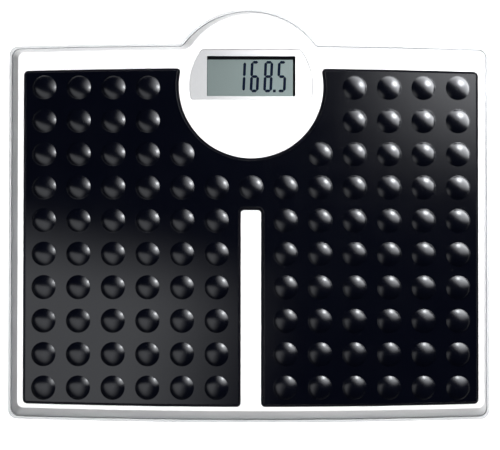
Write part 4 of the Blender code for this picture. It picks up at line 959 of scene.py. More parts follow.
def stand_in(
    node: str, finishes: Sequence[Finish], form: Draft, body: str = "case", **details: object
) -> bpy.types.Object:
    """Makes the piece that replaces a CAD node.

    Args:
        node: The node's name.
        finishes: Its finishes, in the order of its material slots.
        form: Its main form.
        body: The CAD body that it rides on.
        **details: What else it gains or loses, as shape takes it.

    Returns:
        The piece.
    """
    piece = present(shape(f"{node}_dressed", form, **details), body, *finishes)
    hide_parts(node)
    return piece


def paint(obj: bpy.types.Object, number: int, low: Place, high: Place) -> None:
    """Gives the faces whose middle lies in a box another of the object's finishes.

    Args:
        obj: The object.
        number: The finish's slot.
        low: The box's lowest corner.
        high: Its highest corner.
    """
    for face in obj.data.polygons:
        if all(a <= c <= b for a, c, b in zip(low, face.center, high)):
            face.material_index = number


# Mat


@dataclass
class GripMat:
    """The black rubber mat: a matt border flush with the rim, a raised glossy plate and low domes."""

    side_margin: float = 0.0185
    front_margin: float = 0.0171
    rear_margin: float = 0.0298
    corner_radius: float = 0.0038
    thickness: float = 0.0027
    recess: float = 0.0010
    border: float = 0.0014
    step: float = 0.0007
    edge: float = 0.0004
    disc_radius: float = 0.0632
    disc_corner: float = 0.0030
    slot_width: float = 0.018
    slot_end_y: float = 0.002
    slot_corner: float = 0.0032
    slot_mouth: float = 0.0034
    disc_steps: int = 60
    dome_radius: float = 0.0105
    dome_height: float = 0.0045
    dome_foot: float = 0.0003
    dome_pitch: Point = (0.030, 0.029)
    dome_margin: Point = (0.0160, 0.0143)
    dome_rear_margin: float = 0.0173
    dome_clearance: float = 0.003
    dome_root: float = 0.0008
    dome_sink: float = 0.0000075
    dome_sides: int = 36
    dome_steps: int = 7
    foot_steps: int = 3
    edge_steps: int = 4

    @property
    def bottom(self) -> float:
        """The height of its underside."""
        return PLAN.rim_height - self.recess + FIT_GAP

    @property
    def top(self) -> float:
        """The height of the plate between the domes."""
        return self.bottom + self.thickness

    @property
    def half_width(self) -> float:
        """Half its width."""
        return PLAN.half_width - self.side_margin

    @property
    def rear_y(self) -> float:
        """Its rear edge at the middle."""
        return PLAN.rear_y - self.rear_margin

    def outline(self, grow: float) -> list[Point]:
        """Draws the mat's outline with its round cut-out and its front slot.

        Args:
            grow: How far it grows; the cut-out and the slot shrink by it.

        Returns:
            The outline.
        """
        steps, bow = PLAN.corner_steps, PLAN.bow_radius
        front_bow = (0.0, PLAN.front_y + self.front_margin - grow + bow)
        rear_bow = (0.0, self.rear_y + grow - bow)
        half_width, corner = self.half_width + grow, self.corner_radius + grow
        front_corner = PLAN.corner_on_bow(front_bow[1], bow, half_width, corner, -1)
        rear_corner = PLAN.corner_on_bow(rear_bow[1], bow, half_width, corner, 1)
        disc, turn = self.disc_radius - grow, self.disc_corner + grow
        neck = circles_meet(rear_bow, bow - turn, PLAN.pod, disc + turn)
        slot_half, inner, mouth = self.slot_width / 2 - grow, self.slot_corner - grow, self.slot_mouth + grow
        end_corner = (slot_half - inner, self.slot_end_y - grow - inner)
        mouth_corner = PLAN.corner_on_bow(front_bow[1], bow, slot_half + 2 * mouth, mouth, -1)
        front_turn, rear_turn = angle_to(front_bow, front_corner), angle_to(rear_bow, rear_corner)
        mouth_turn = angle_to(front_bow, mouth_corner)
        half = [(0.0, self.slot_end_y - grow)]
        half += arc(end_corner, inner, QUARTER, 0, steps)
        half += arc(mouth_corner, mouth, math.pi, mouth_turn, steps)
        half += arc(front_bow, bow, mouth_turn, front_turn, PLAN.bow_steps)[1:-1]
        half += arc(front_corner, corner, front_turn, FULL_TURN, steps)
        half += arc(rear_corner, corner, 0, rear_turn, steps)
        half += arc(rear_bow, bow, rear_turn, angle_to(rear_bow, neck), PLAN.bow_steps)[1:-1]
        half += arc(neck, turn, angle_to(rear_bow, neck), angle_to(neck, PLAN.pod), steps)
        half += arc(PLAN.pod, disc, angle_to(PLAN.pod, neck), -QUARTER, self.disc_steps)[1:]
        return mirrored(half)

    def dome_places(self) -> Iterator[Point]:
        """The centre of each dome: a grid, without those that the display or the slot would touch.

        Returns:
            The centres.
        """
        front = PLAN.front_y + self.front_margin + self.dome_margin[1]
        rear = self.rear_y - self.dome_rear_margin
        rows = int((rear - front) / self.dome_pitch[1]) + 1
        columns = int(2 * (self.half_width - self.dome_margin[0]) / self.dome_pitch[0]) + 1
        for row in range(rows):
            y = rear - row * self.dome_pitch[1]
            for column in range(columns):
                x = (column - (columns - 1) / 2) * self.dome_pitch[0]
                clear = self.disc_radius + self.dome_radius + self.dome_clearance
                off_disc = math.hypot(x, y - PLAN.pod[1]) > clear
                beside_slot = abs(x) > self.slot_width / 2 + self.dome_radius
                if off_disc and (beside_slot or y > self.slot_end_y + self.dome_radius):
                    yield x, y

    def dome_profile(self) -> list[Point]:
        """The section of a dome: a cap of a sphere with a small round at its foot.

        Returns:
            Points of radius and height.
        """
        foot, top, steps = self.dome_foot, self.top, self.foot_steps
        ball = (self.dome_radius**2 + self.dome_height**2) / (2 * self.dome_height)
        depth = ball - self.dome_height
        reach = math.sqrt((ball + foot) ** 2 - (depth + foot) ** 2)
        steep = math.asin(reach / (ball + foot))
        # The root starts a hair inside the foot's round and below the plate, so that no two faces coincide.
        start = reach - foot * math.sin(steep / (4 * steps))
        made = [(start, top - self.dome_root), (start, top - self.dome_sink)]
        for step in range(1, steps):
            turn = steep * step / steps
            made.append((reach - foot * math.sin(turn), top + foot * (1 - math.cos(turn))))
        made += arc((0.0, top - depth), ball, QUARTER - steep, QUARTER, self.dome_steps)[:-1]
        return made + [(0.0, top + self.dome_height)]

    def build(self) -> None:
        """Makes the mat's plate and its domes."""
        inner = self.border + self.step
        edge = rounded((self.top - self.edge, inner), (self.top, inner + self.edge), self.edge_steps)
        levels = [(self.bottom, 0.0), (PLAN.rim_height, 0.0), (PLAN.rim_height, self.border), *edge]
        form = Draft().loft([raised(self.outline(-inset), z) for z, inset in levels])
        mat = stand_in("grip_mat", (MAT, MAT_BORDER), form)
        border_top = PLAN.rim_height + self.edge / 4
        paint(mat, 1, (-PLAN.width, -PLAN.depth, 0), (PLAN.width, PLAN.depth, border_top))
        domes = Draft()
        for x, y in self.dome_places():
            domes.turned(self.dome_profile(), (x, y, 0), self.dome_sides)
        present(shape("grip_mat_domes", domes), "case", MAT_DOMES)


# Display


@dataclass(frozen=True)
class SevenSegment:
    """A slanted digit of a liquid crystal display, drawn from seven bars."""

    width: float = 0.0078
    height: float = 0.0276
    stroke: float = 0.0024
    gap: float = 0.00012
    slant: float = math.radians(2.5)
    bars: ClassVar[dict[str, str]] = {"1": "bc", "6": "acdefg", "8": "abcdefg", "5": "acdfg"}

    def bar(self, letter: str) -> list[Point]:
        """Draws one bar with pointed ends.

        Args:
            letter: Its usual letter, from a at the top, clockwise, to g in the middle.

        Returns:
            Its outline in the digit's own upright box.
        """
        half, gap = self.stroke / 2, self.gap
        x, y = self.width / 2 - half, self.height / 2 - half
        (start_x, start_y), (end_x, end_y) = {
            "a": ((-x, y), (x, y)),
            "b": ((x, 0), (x, y)),
            "c": ((x, -y), (x, 0)),
            "d": ((-x, -y), (x, -y)),
            "e": ((-x, -y), (-x, 0)),
            "f": ((-x, 0), (-x, y)),
            "g": ((-x, 0), (x, 0)),
        }[letter]
        length = math.hypot(end_x - start_x, end_y - start_y)
        ahead_x, ahead_y = (end_x - start_x) / length, (end_y - start_y) / length
        near, far = gap + half, length - gap - half
        corners = ((gap, 0), (near, -half), (far, -half), (length - gap, 0), (far, half), (near, half))
        return [
            (start_x + ahead_x * along - ahead_y * across, start_y + ahead_y * along + ahead_x * across)
            for along, across in corners
        ]

    def dot(self, x: float) -> list[Point]:
        """Draws a decimal point.

        Args:
            x: Its place across the digit's upright box.

        Returns:
            Its outline.
        """
        half, low = self.stroke / 2, -self.height / 2
        high = low + self.stroke
        return [(x - half, low), (x + half, low), (x + half, high), (x - half, high)]

    def leaned(self, outline: Iterable[Point], centre: Point) -> list[Point]:
        """Slants an outline and puts it in place."""
        lean = math.tan(self.slant)
        return [(centre[0] + x + lean * y, centre[1] + y) for x, y in outline]


@dataclass
class DisplayWindow:
    """The display: a barrel-shaped silver mask over a clear lens and a liquid crystal panel."""

    radius: float = 0.0536
    to_front: float = 0.0115
    to_rear: float = 0.0320
    corner_radius: float = 0.0020
    seat_depth: float = 0.0020
    thickness: float = 0.0013
    readout_width: float = 0.0772
    readout_front_margin: float = 0.0028
    readout_rear_margin: float = 0.0056
    readout_corner: float = 0.0009
    lens_margin: float = 0.0016
    arc_steps: int = 40
    bevel: float = 0.00025
    bevel_steps: int = 3
    gasket_lip: float = 0.0010
    gasket_shade_shift: Point = (-0.0006, -0.0010)
    gasket_gap: float = 0.00003
    digit_lift: float = 0.000015
    digit_top: float = 0.0001
    reading: str = "168.5"
    last_digit: Point = (0.0272, 0.0006)
    digit_pitch: float = 0.0119
    digit: SevenSegment = field(default_factory=SevenSegment)

    @property
    def bottom(self) -> float:
        """The height of the mask's underside."""
        return PLAN.rim_height - self.seat_depth + FIT_GAP

    @property
    def front_y(self) -> float:
        """The window's front edge."""
        return PLAN.pod[1] - self.to_front

    @property
    def rear_y(self) -> float:
        """The window's rear edge."""
        return PLAN.pod[1] + self.to_rear

    @property
    def readout_span(self) -> Point:
        """The front and the rear edge of the opening over the read-out."""
        return self.front_y + self.readout_front_margin, self.rear_y - self.readout_rear_margin

    def outline(self, grow: float) -> list[Point]:
        """Draws the window: a circle cut straight at its front and rear, with rounded corners.

        Args:
            grow: How far it grows.

        Returns:
            The outline.
        """
        radius, corner, pod = self.radius + grow, self.corner_radius + grow, PLAN.pod
        corners = []
        for edge, side in ((self.front_y - grow, 1), (self.rear_y + grow, -1)):
            y = edge + side * corner
            corners.append((math.sqrt((radius - corner) ** 2 - (y - pod[1]) ** 2), y))
        front, rear = corners
        steps = PLAN.corner_steps
        half = [(0.0, self.front_y - grow)]
        half += arc(front, corner, -QUARTER, angle_to(pod, front) - FULL_TURN, steps)
        half += arc(pod, radius, angle_to(pod, front) - FULL_TURN, angle_to(pod, rear), self.arc_steps)[1:-1]
        half += arc(rear, corner, angle_to(pod, rear), QUARTER, steps)
        return mirrored(half + [(0.0, self.rear_y + grow)])

    def readout(self, grow: float) -> list[Point]:
        """Draws the opening over the read-out.

        Args:
            grow: How far it grows.

        Returns:
            The outline.
        """
        front, rear = self.readout_span
        corner = max(self.readout_corner + grow, self.readout_corner / 2)
        return rounded_rectangle(self.readout_width / 2 + grow, front - grow, rear + grow, corner)

    def build(self) -> None:
        """Makes the mask, the gasket under it and the digits."""
        top = self.bottom + self.thickness
        hole = Draft().prism(self.readout(0), self.bottom - CUT_OVERRUN, top + CUT_OVERRUN)
        body = Draft().prism(self.outline(0), self.bottom, top)
        details = {"cut": hole, "bevel": self.bevel, "bevel_steps": self.bevel_steps}
        mask = stand_in("display_mask", (SILVER, MASK_WALL_SHADE), body, **details)
        # The opening's walls take the near-black finish, which is partly painted shade.
        front, rear = self.readout_span
        reach = self.readout_corner / 2
        side = self.readout_width / 2 + reach
        paint(mask, 1, (-side, front - reach, 0), (side, rear + reach, top - self.bevel))
        panel_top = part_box("lcd_panel")[1].z
        low, high = panel_top + self.gasket_gap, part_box("display_lens")[0].z - self.gasket_gap
        # The black gasket is partly a real border round the panel. Its inner edge is shifted to the front and
        # left, so that its band is wider at the rear and the right: painted shade where the opening's walls
        # shade the panel.
        shift_x, shift_y = self.gasket_shade_shift
        outer = self.readout(self.lens_margin)
        inner = [(x + shift_x, y + shift_y) for x, y in self.readout(-self.gasket_lip)]
        section = ((outer, low), (outer, high), (inner, high), (inner, low))
        ring = Draft().loft([raised(outline, z) for outline, z in section], ends=False)
        present(shape("display_gasket", ring), "case", GASKET)
        self.build_digits(panel_top)

    def build_digits(self, floor: float) -> None:
        """Makes the reading on the panel.

        Args:
            floor: The height of the panel's face.
        """
        digits, digit = Draft(), self.digit
        low, high = floor + self.digit_lift, floor + self.digit_top
        x, middle = self.last_digit[0], sum(self.readout_span) / 2 + self.last_digit[1]
        for sign in reversed(self.reading):
            if sign == ".":
                digits.prism(digit.leaned(digit.dot(x + self.digit_pitch / 2), (0, middle)), low, high)
                continue
            for letter in digit.bars[sign]:
                digits.prism(digit.leaned(digit.bar(letter), (x, middle)), low, high)
            x -= self.digit_pitch
        present(shape("lcd_digits", digits), "case", SEGMENT)


# Cover


@dataclass
class PlatformCover:
    """The white upper shell, with seats for the mat and the display."""

    mat: GripMat
    display: DisplayWindow
    wall: float = 0.0025
    rim_edge: float = 0.0008
    rim_steps: int = 6
    seam_groove: float = 0.0004
    bevel: float = 0.00015

    def build(self) -> None:
        """Makes the cover."""
        plan, edge = PLAN, self.rim_edge
        low, inner = plan.floor_top + FIT_GAP, plan.seam_inset + self.wall
        seam = plan.seam_inset + self.seam_groove
        slope = (plan.rim_inset - plan.seam_inset) / (plan.rim_height - edge - plan.seam_height)
        rim_low, rim_high = (plan.rim_height - edge, plan.rim_inset), (plan.rim_height, plan.rim_inset + edge)
        levels = [
            *reversed(rounded(rim_low, rim_high, self.rim_steps)),
            (plan.seam_height, seam),
            (low, seam),
            (low, inner),
            (plan.seam_height, inner),
            (plan.ceiling, inner + slope * (plan.ceiling - plan.seam_height)),
        ]
        rings = [raised(plan.outline(inset), z) for z, inset in levels]
        above, seat = plan.rim_height + CUT_OVERRUN, plan.rim_height - self.display.seat_depth
        cuts = Draft().prism(self.mat.outline(FIT_GAP), plan.rim_height - self.mat.recess, above)
        cuts.prism(self.display.outline(FIT_GAP), seat, above)
        opening = self.display.readout(self.display.lens_margin + FIT_GAP)
        cuts.prism(opening, plan.ceiling - CUT_OVERRUN, seat + self.display.seat_depth / 2)
        stand_in("platform_cover", (WHITE,), Draft().loft(rings), cut=cuts, bevel=self.bevel)


# Underside


@dataclass
class BatteryBay:
    """The battery bay's door, batteries and contacts."""

    cells: int = 4
    radius: float = 0.0071
    length: float = 0.0490
    nub_radius: float = 0.0027
    nub_height: float = 0.0012
    nub_round: Point = (0.0004, 0.0003)
    shoulder_round: Point = (0.0012, 0.0009)
    base_round: Point = (0.0010, 0.0008)
    dent_radii: Point = (0.00378, 0.00432)
    dent_depth: float = 0.0002
    sleeve_thickness: float = 0.0001
    sleeve_start: Point = (0.0010, 0.0011)
    sleeve_end: float = 0.0008
    band_start: float = 0.0090
    round_steps: int = 4
    nub_steps: int = 3
    pitch: float = 0.0150
    half_width: float = 0.03085
    half_length: float = 0.0282
    wall: float = 0.0020
    door_thickness: float = 0.0019
    door_bevel: float = 0.0002
    side_step: float = 0.0012
    hinge_offset: float = 0.0028
    hinge_radius: float = 0.0022
    pin_radius: float = 0.0010
    pin_length: float = 0.0040
    block_wall: float = 0.0025
    latch_overhang: float = 0.0033
    latch_width: float = 0.014
    latch_thickness: float = 0.0014
    latch_height: float = 0.0020
    scoop_length: float = 0.0060
    scoop_depth: float = 0.0012
    scoop_corner: float = 0.0028
    grip_lines: int = 6
    grip_start: float = 0.0040
    grip_pitch: float = 0.0022
    grip_taper: float = 0.10
    grip_half: float = 0.0005
    grip_corner: float = 0.00049
    contact_thickness: float = 0.0004
    contact_size: float = 0.0100
    bump_radii: Point = (0.0025, 0.00175)
    bump_height: float = 0.0006
    spring_radii: Point = (0.0040, 0.0026)
    spring_turns: float = 3.5
    spring_steps: int = 60
    wire_radius: float = 0.00035

    @property
    def door_half_width(self) -> float:
        """Half the door's width."""
        return self.half_width + self.side_step

    @property
    def door_top(self) -> float:
        """The height of the door's inside."""
        return PLAN.tray_bottom + self.door_thickness

    @property
    def axis_z(self) -> float:
        """The height of the batteries' axes."""
        return self.door_top + FIT_GAP + self.radius

    @property
    def hinge(self) -> Point:
        """The hinge axis, as Y and Z."""
        return (-self.half_length - self.hinge_offset, PLAN.tray_bottom + self.hinge_radius)

    @property
    def door_end(self) -> float:
        """The door's edge at the latch."""
        return self.half_length + self.latch_overhang

    @property
    def contact_face(self) -> float:
        """The contacts' inner faces, from the bay's middle."""
        return self.half_length - FIT_GAP - self.contact_thickness

    @property
    def nub_end(self) -> float:
        """The end of a battery's nub, from the bay's middle."""
        return self.contact_face - self.bump_height - FIT_GAP

    @property
    def base_end(self) -> float:
        """The flat end of a battery, from the bay's middle."""
        return self.length + self.nub_height - self.nub_end

    def cell_x(self, number: int) -> float:
        """The X place of a battery, numbered from 0 at the left."""
        return (number - (self.cells - 1) / 2) * self.pitch

    def nub_side(self, number: int) -> int:
        """Where a battery's nub points: 1 to the rear, -1 to the front."""
        return 1 if number % 2 else -1

    def housing(self, added: Draft) -> None:
        """Adds the bay's box, hinge blocks and latch block to the tray.

        Args:
            added: The draft of what the tray gains.
        """
        root, (y, z) = PLAN.tray_root, self.hinge
        side = self.door_half_width + FIT_GAP + self.side_step
        end, top = self.half_length + self.wall, self.axis_z + self.radius + FIT_GAP + self.wall
        added.block((-side, -end, root), (side, end, top))
        socket = self.door_half_width + self.pin_length + self.block_wall
        reach = self.hinge_radius + FIT_GAP + self.block_wall
        added.block((-socket, y - reach, root), (socket, self.wall - self.half_length, z + reach))
        back, latch = self.door_end + FIT_GAP + self.block_wall, side - self.wall / 2
        top = self.door_top + self.latch_height + self.wall
        added.block((-latch, self.half_length - self.wall, root), (latch, back, top))

    def hollow(self, cuts: Draft) -> None:
        """Cuts the bay, the door's opening, the hinge's groove and sockets, and the latch's notch.

        Args:
            cuts: The draft of what the tray loses.
        """
        below, gap = PLAN.under_tray, FIT_GAP
        cuts.slab((0, 0), (self.half_width, self.half_length), below, self.axis_z + self.radius + gap)
        side, (y, z) = self.door_half_width + gap, self.hinge
        edge = y - self.hinge_radius - gap
        cuts.block((-side, edge, below), (side, self.door_end + gap, self.door_top + gap))
        inner = side - gap / 2
        groove_end = max(y + self.hinge_radius + gap, self.wall - self.half_length)
        cuts.block((-inner, edge + gap / 2, below), (inner, groove_end, z + self.hinge_radius + gap))
        reach, radius = self.door_half_width + self.pin_length + gap, self.pin_radius + gap
        cuts.rod(radius, (-reach, reach), (0, y, z), PIN_SIDES, ALONG_X)
        notch = self.latch_width / 2 + gap
        start = self.door_end - self.latch_thickness - 2 * gap
        high = (notch, self.door_end + gap / 2, self.door_top + self.latch_height + gap)
        cuts.block((-notch, start, below), high)
        front, rear = self.door_end - self.scoop_length, self.door_end + self.scoop_length
        scoop = rounded_rectangle(self.latch_width / 2, front, rear, self.scoop_corner)
        cuts.prism(scoop, below, PLAN.tray_bottom + self.scoop_depth)

    def build(self) -> None:
        """Makes the door, the batteries and the contacts."""
        self.build_door()
        for number in range(self.cells):
            self.build_battery(number)
        last = self.cells - 1
        self.build_contact("contact_negative", 0, 0, 1)
        self.build_contact("contact_positive", last, last, 1)
        for number in range(last):
            self.build_contact(f"contact_link_{number + 1}", number, number + 1, self.nub_side(number))

    def build_door(self) -> None:
        """Makes the door: a plate with a rolled hinge edge, pins, a latch and grip lines."""
        side, (y, z) = self.door_half_width, self.hinge
        low, top, end = PLAN.tray_bottom, self.door_top, self.door_end
        body = Draft().block((-side, y, low), (side, end, top))
        added = Draft().rod(self.hinge_radius, (-side, side), (0, y, z), PLAIN_SIDES, ALONG_X)
        reach = side + self.pin_length
        added.rod(self.pin_radius, (-reach, reach), (0, y, z), PIN_SIDES, ALONG_X)
        half, latch_low = self.latch_width / 2, low + self.door_thickness / 2
        latch_high = (half, end - FIT_GAP, top + self.latch_height)
        added.block((-half, end - self.latch_thickness, latch_low), latch_high)
        lines = Draft()
        for i in range(self.grip_lines):
            middle = end - self.grip_start - self.grip_pitch * i
            reach = self.latch_width * (1 - self.grip_taper * i)
            front, rear = middle - self.grip_half, middle + self.grip_half
            groove = rounded_rectangle(reach, front, rear, self.grip_corner)
            lines.prism(groove, low - CUT_OVERRUN, low + self.grip_half)
        details = {"add": added, "cut": lines, "bevel": self.door_bevel}
        stand_in("battery_door", (TRAY,), body, "door", **details)

    def battery_profile(self) -> list[Point]:
        """The section of a battery, from its dented base to its nub.

        Returns:
            Points of radius and place along the battery.
        """
        radius, nub, base, end = self.radius, self.nub_radius, -self.base_end, self.nub_end
        shoulder, bare = end - self.nub_height, radius - self.sleeve_thickness
        low, high = self.sleeve_start
        inset, rise = self.base_round
        shoulder_inset, shoulder_drop = self.shoulder_round
        nub_inset, nub_drop = self.nub_round
        base_edge = rounded((radius - inset, base), (bare, base + rise), self.round_steps)
        shoulder_low = (radius, shoulder - shoulder_drop)
        nub_low = (nub, end - nub_drop)
        return [
            (0.0, base + self.dent_depth),
            (self.dent_radii[0], base + self.dent_depth),
            (self.dent_radii[1], base),
            *base_edge,
            (bare, base + low),
            (radius, base + high),
            (radius, shoulder - self.band_start),
            shoulder_low,
            *rounded((radius - shoulder_inset, shoulder), shoulder_low, self.round_steps)[-2::-1],
            (nub + nub_inset, shoulder),
            (nub, shoulder + nub_drop),
            nub_low,
            *rounded((nub - nub_inset, end), nub_low, self.nub_steps)[-2::-1],
            (0.0, end),
        ]

    def build_battery(self, number: int) -> None:
        """Makes one battery: a sleeve with a pale band and bare metal ends.

        Args:
            number: Its place, from 0 at the left.
        """
        side = self.nub_side(number)
        turn = Matrix.Rotation(0 if side > 0 else math.pi, 4, "Z")
        where = Matrix.Translation((self.cell_x(number), 0, self.axis_z))
        body = Draft().turned(self.battery_profile(), axis=ALONG_Y).moved(where @ turn)
        battery = stand_in(f"battery_{number + 1}", (SLEEVE, CONTACT, SLEEVE_BAND), body)
        shoulder = self.nub_end - self.nub_height
        sleeve_start, sleeve_end = sum(self.sleeve_start) / 2 - self.base_end, shoulder - self.sleeve_end
        for face in battery.data.polygons:
            along = face.center.y * side
            if along < sleeve_start or along > sleeve_end:
                face.material_index = 1
            elif along > shoulder - self.band_start:
                face.material_index = 2

    def build_contact(self, name: str, first: int, last: int, side: int) -> None:
        """Makes a contact: a plate with a wound spring at a battery's base and a bump at a nub.

        Args:
            name: The node's name.
            first: The first battery that it serves.
            last: The last one.
            side: 1 behind the batteries, -1 in front.
        """
        half, z = self.contact_size / 2, self.axis_z
        left, right = self.cell_x(first) - half, self.cell_x(last) + half
        face, back = side * self.contact_face, side * (self.contact_face + self.contact_thickness)
        body = Draft().block((left, min(face, back), z - half), (right, max(face, back), z + half))
        foot, top = self.bump_radii
        tip = side * (self.contact_face - self.bump_height)
        bump = ((foot, (face + back) / 2), (foot, face), (top, tip), (0.0, tip))
        added = Draft()
        for number in range(first, last + 1):
            if side == self.nub_side(number):
                added.turned(bump, (self.cell_x(number), 0, z), PIN_SIDES, ALONG_Y)
            else:
                added.wire(self.spring_route(self.cell_x(number), side), self.wire_radius)
        stand_in(name, (CONTACT,), body, add=added)

    def spring_route(self, x: float, side: int) -> list[Vector]:
        """Points along a wound spring.

        Args:
            x: The X place of its axis.
            side: 1 behind the batteries, -1 in front.

        Returns:
            The points, from the contact's plate to the battery.
        """
        start = self.contact_face + self.wire_radius / 2
        end = self.base_end + FIT_GAP + self.wire_radius
        wide, narrow = self.spring_radii
        made = []
        for i in range(self.spring_steps + 1):
            share = i / self.spring_steps
            turn = FULL_TURN * self.spring_turns * share
            radius = wide + (narrow - wide) * share
            along = side * (start + (end - start) * share)
            made.append(Vector((x + radius * math.cos(turn), along, self.axis_z + radius * math.sin(turn))))
        return made


class Corner(Enum):
    """The corners that have a foot, with the side of each axis that they are on."""

    FRONT_LEFT = (-1, -1)
    FRONT_RIGHT = (1, -1)
    REAR_LEFT = (-1, 1)
    REAR_RIGHT = (1, 1)

    @property
    def label(self) -> str:
        """The corner's name in the names of nodes and bodies."""
        return self.name.lower()


@dataclass
class Foot:
    """One foot: a rubber pad in a plastic cup that presses on its load cell."""

    corner: Corner
    margin: float = 0.0515
    rear_margin: float = 0.0504
    pad_radius: float = 0.0150
    pad_thickness: float = 0.0026
    pad_edge: float = 0.0006
    cup_radius: float = 0.0180
    cup_bottom: float = 0.0014
    flange: float = 0.0025
    flange_thickness: float = 0.0019
    tip_radius: float = 0.0060
    tip_height: float = 0.0003
    clearance: float = 0.0006
    carrier_radius: float = 0.0237
    pocket_wall: float = 0.0020
    pocket_top: float = 0.0200
    ledge_gap: float = 0.0007
    travel: float = 0.00025
    groove_radii: tuple[float, ...] = (0.0045, 0.0085, 0.0120)
    groove_half: float = 0.0005
    groove_depth: float = 0.0004
    edge_steps: int = 3

    @property
    def spot(self) -> Point:
        """The foot's centre.

        Returns:
            Its place across and along the body.
        """
        x = PLAN.half_width - self.margin
        front, rear = PLAN.front_y + self.margin, PLAN.rear_y - self.rear_margin
        side, end = self.corner.value
        return (side * x, rear if end > 0 else front)

    @property
    def cup_top(self) -> float:
        """The height of the flange's top."""
        return PLAN.floor_top + FIT_GAP + self.flange_thickness

    def pocket(self, added: Draft) -> None:
        """Adds the wall round the load cell to the tray.

        Args:
            added: The draft of what the tray gains.
        """
        radius = self.carrier_radius + FIT_GAP + self.pocket_wall
        added.rod(radius, (PLAN.tray_root, self.pocket_top), (*self.spot, 0))

    def hollow(self, cuts: Draft) -> None:
        """Cuts the cup's opening and the load cell's pocket.

        Args:
            cuts: The draft of what the tray loses.
        """
        floor, seat = PLAN.floor_top, self.cup_top + self.travel + self.clearance
        hole, ledge = self.cup_radius + self.clearance, self.cup_radius + self.flange + self.ledge_gap
        inside = self.carrier_radius + FIT_GAP
        rings = {
            hole: (PLAN.under_tray, floor + FIT_GAP),
            ledge: (floor, seat),
            inside: (seat - FIT_GAP, self.pocket_top + CUT_OVERRUN),
        }
        for radius, ends in rings.items():
            cuts.rod(radius, ends, (*self.spot, 0), FINE_SIDES)

    def pad_profile(self) -> list[Point]:
        """The section of the pad, with its ring grooves and its rounded edge.

        Returns:
            Points of radius and height.
        """
        edge, half, depth = self.pad_edge, self.groove_half, self.groove_depth
        made = [(0.0, 0.0)]
        for radius in self.groove_radii:
            made += [(radius - half, 0.0), (radius - half / 2, depth)]
            made += [(radius + half / 2, depth), (radius + half, 0.0)]
        made += arc((self.pad_radius - edge, edge), edge, -QUARTER, 0, self.edge_steps)
        return made + [(self.pad_radius, self.pad_thickness), (0.0, self.pad_thickness)]

    def cup_profile(self) -> list[Point]:
        """The section of the cup, from the seat of the pad to the tip that presses on the load cell.

        Returns:
            Points of radius and height.
        """
        edge, bottom, radius = self.pad_edge, self.cup_bottom, self.cup_radius
        seat, inside = self.pad_thickness + FIT_GAP, self.pad_radius + FIT_GAP
        base, wide = PLAN.floor_top + FIT_GAP, radius + self.flange
        tip = self.cup_top + self.tip_height
        return [
            (0.0, seat),
            (inside, seat),
            (inside, bottom + edge / 2),
            (inside + edge / 2, bottom),
            *arc((radius - edge, bottom + edge), edge, -QUARTER, 0, self.edge_steps),
            (radius, base),
            (wide, base),
            (wide, self.cup_top),
            (self.tip_radius, self.cup_top),
            (self.tip_radius, tip),
            (0.0, tip),
        ]

    def build(self) -> None:
        """Makes the pad and the cup."""
        label = self.corner.label
        pieces = (("foot_pad", self.pad_profile(), FOOT_RUBBER), ("foot_cup", self.cup_profile(), TRAY))
        for kind, profile, finish in pieces:
            form = Draft().turned(profile, sides=FINE_SIDES)
            stand_in(f"{kind}_{label}", (finish,), form, f"foot_{label}", at=(*self.spot, 0))


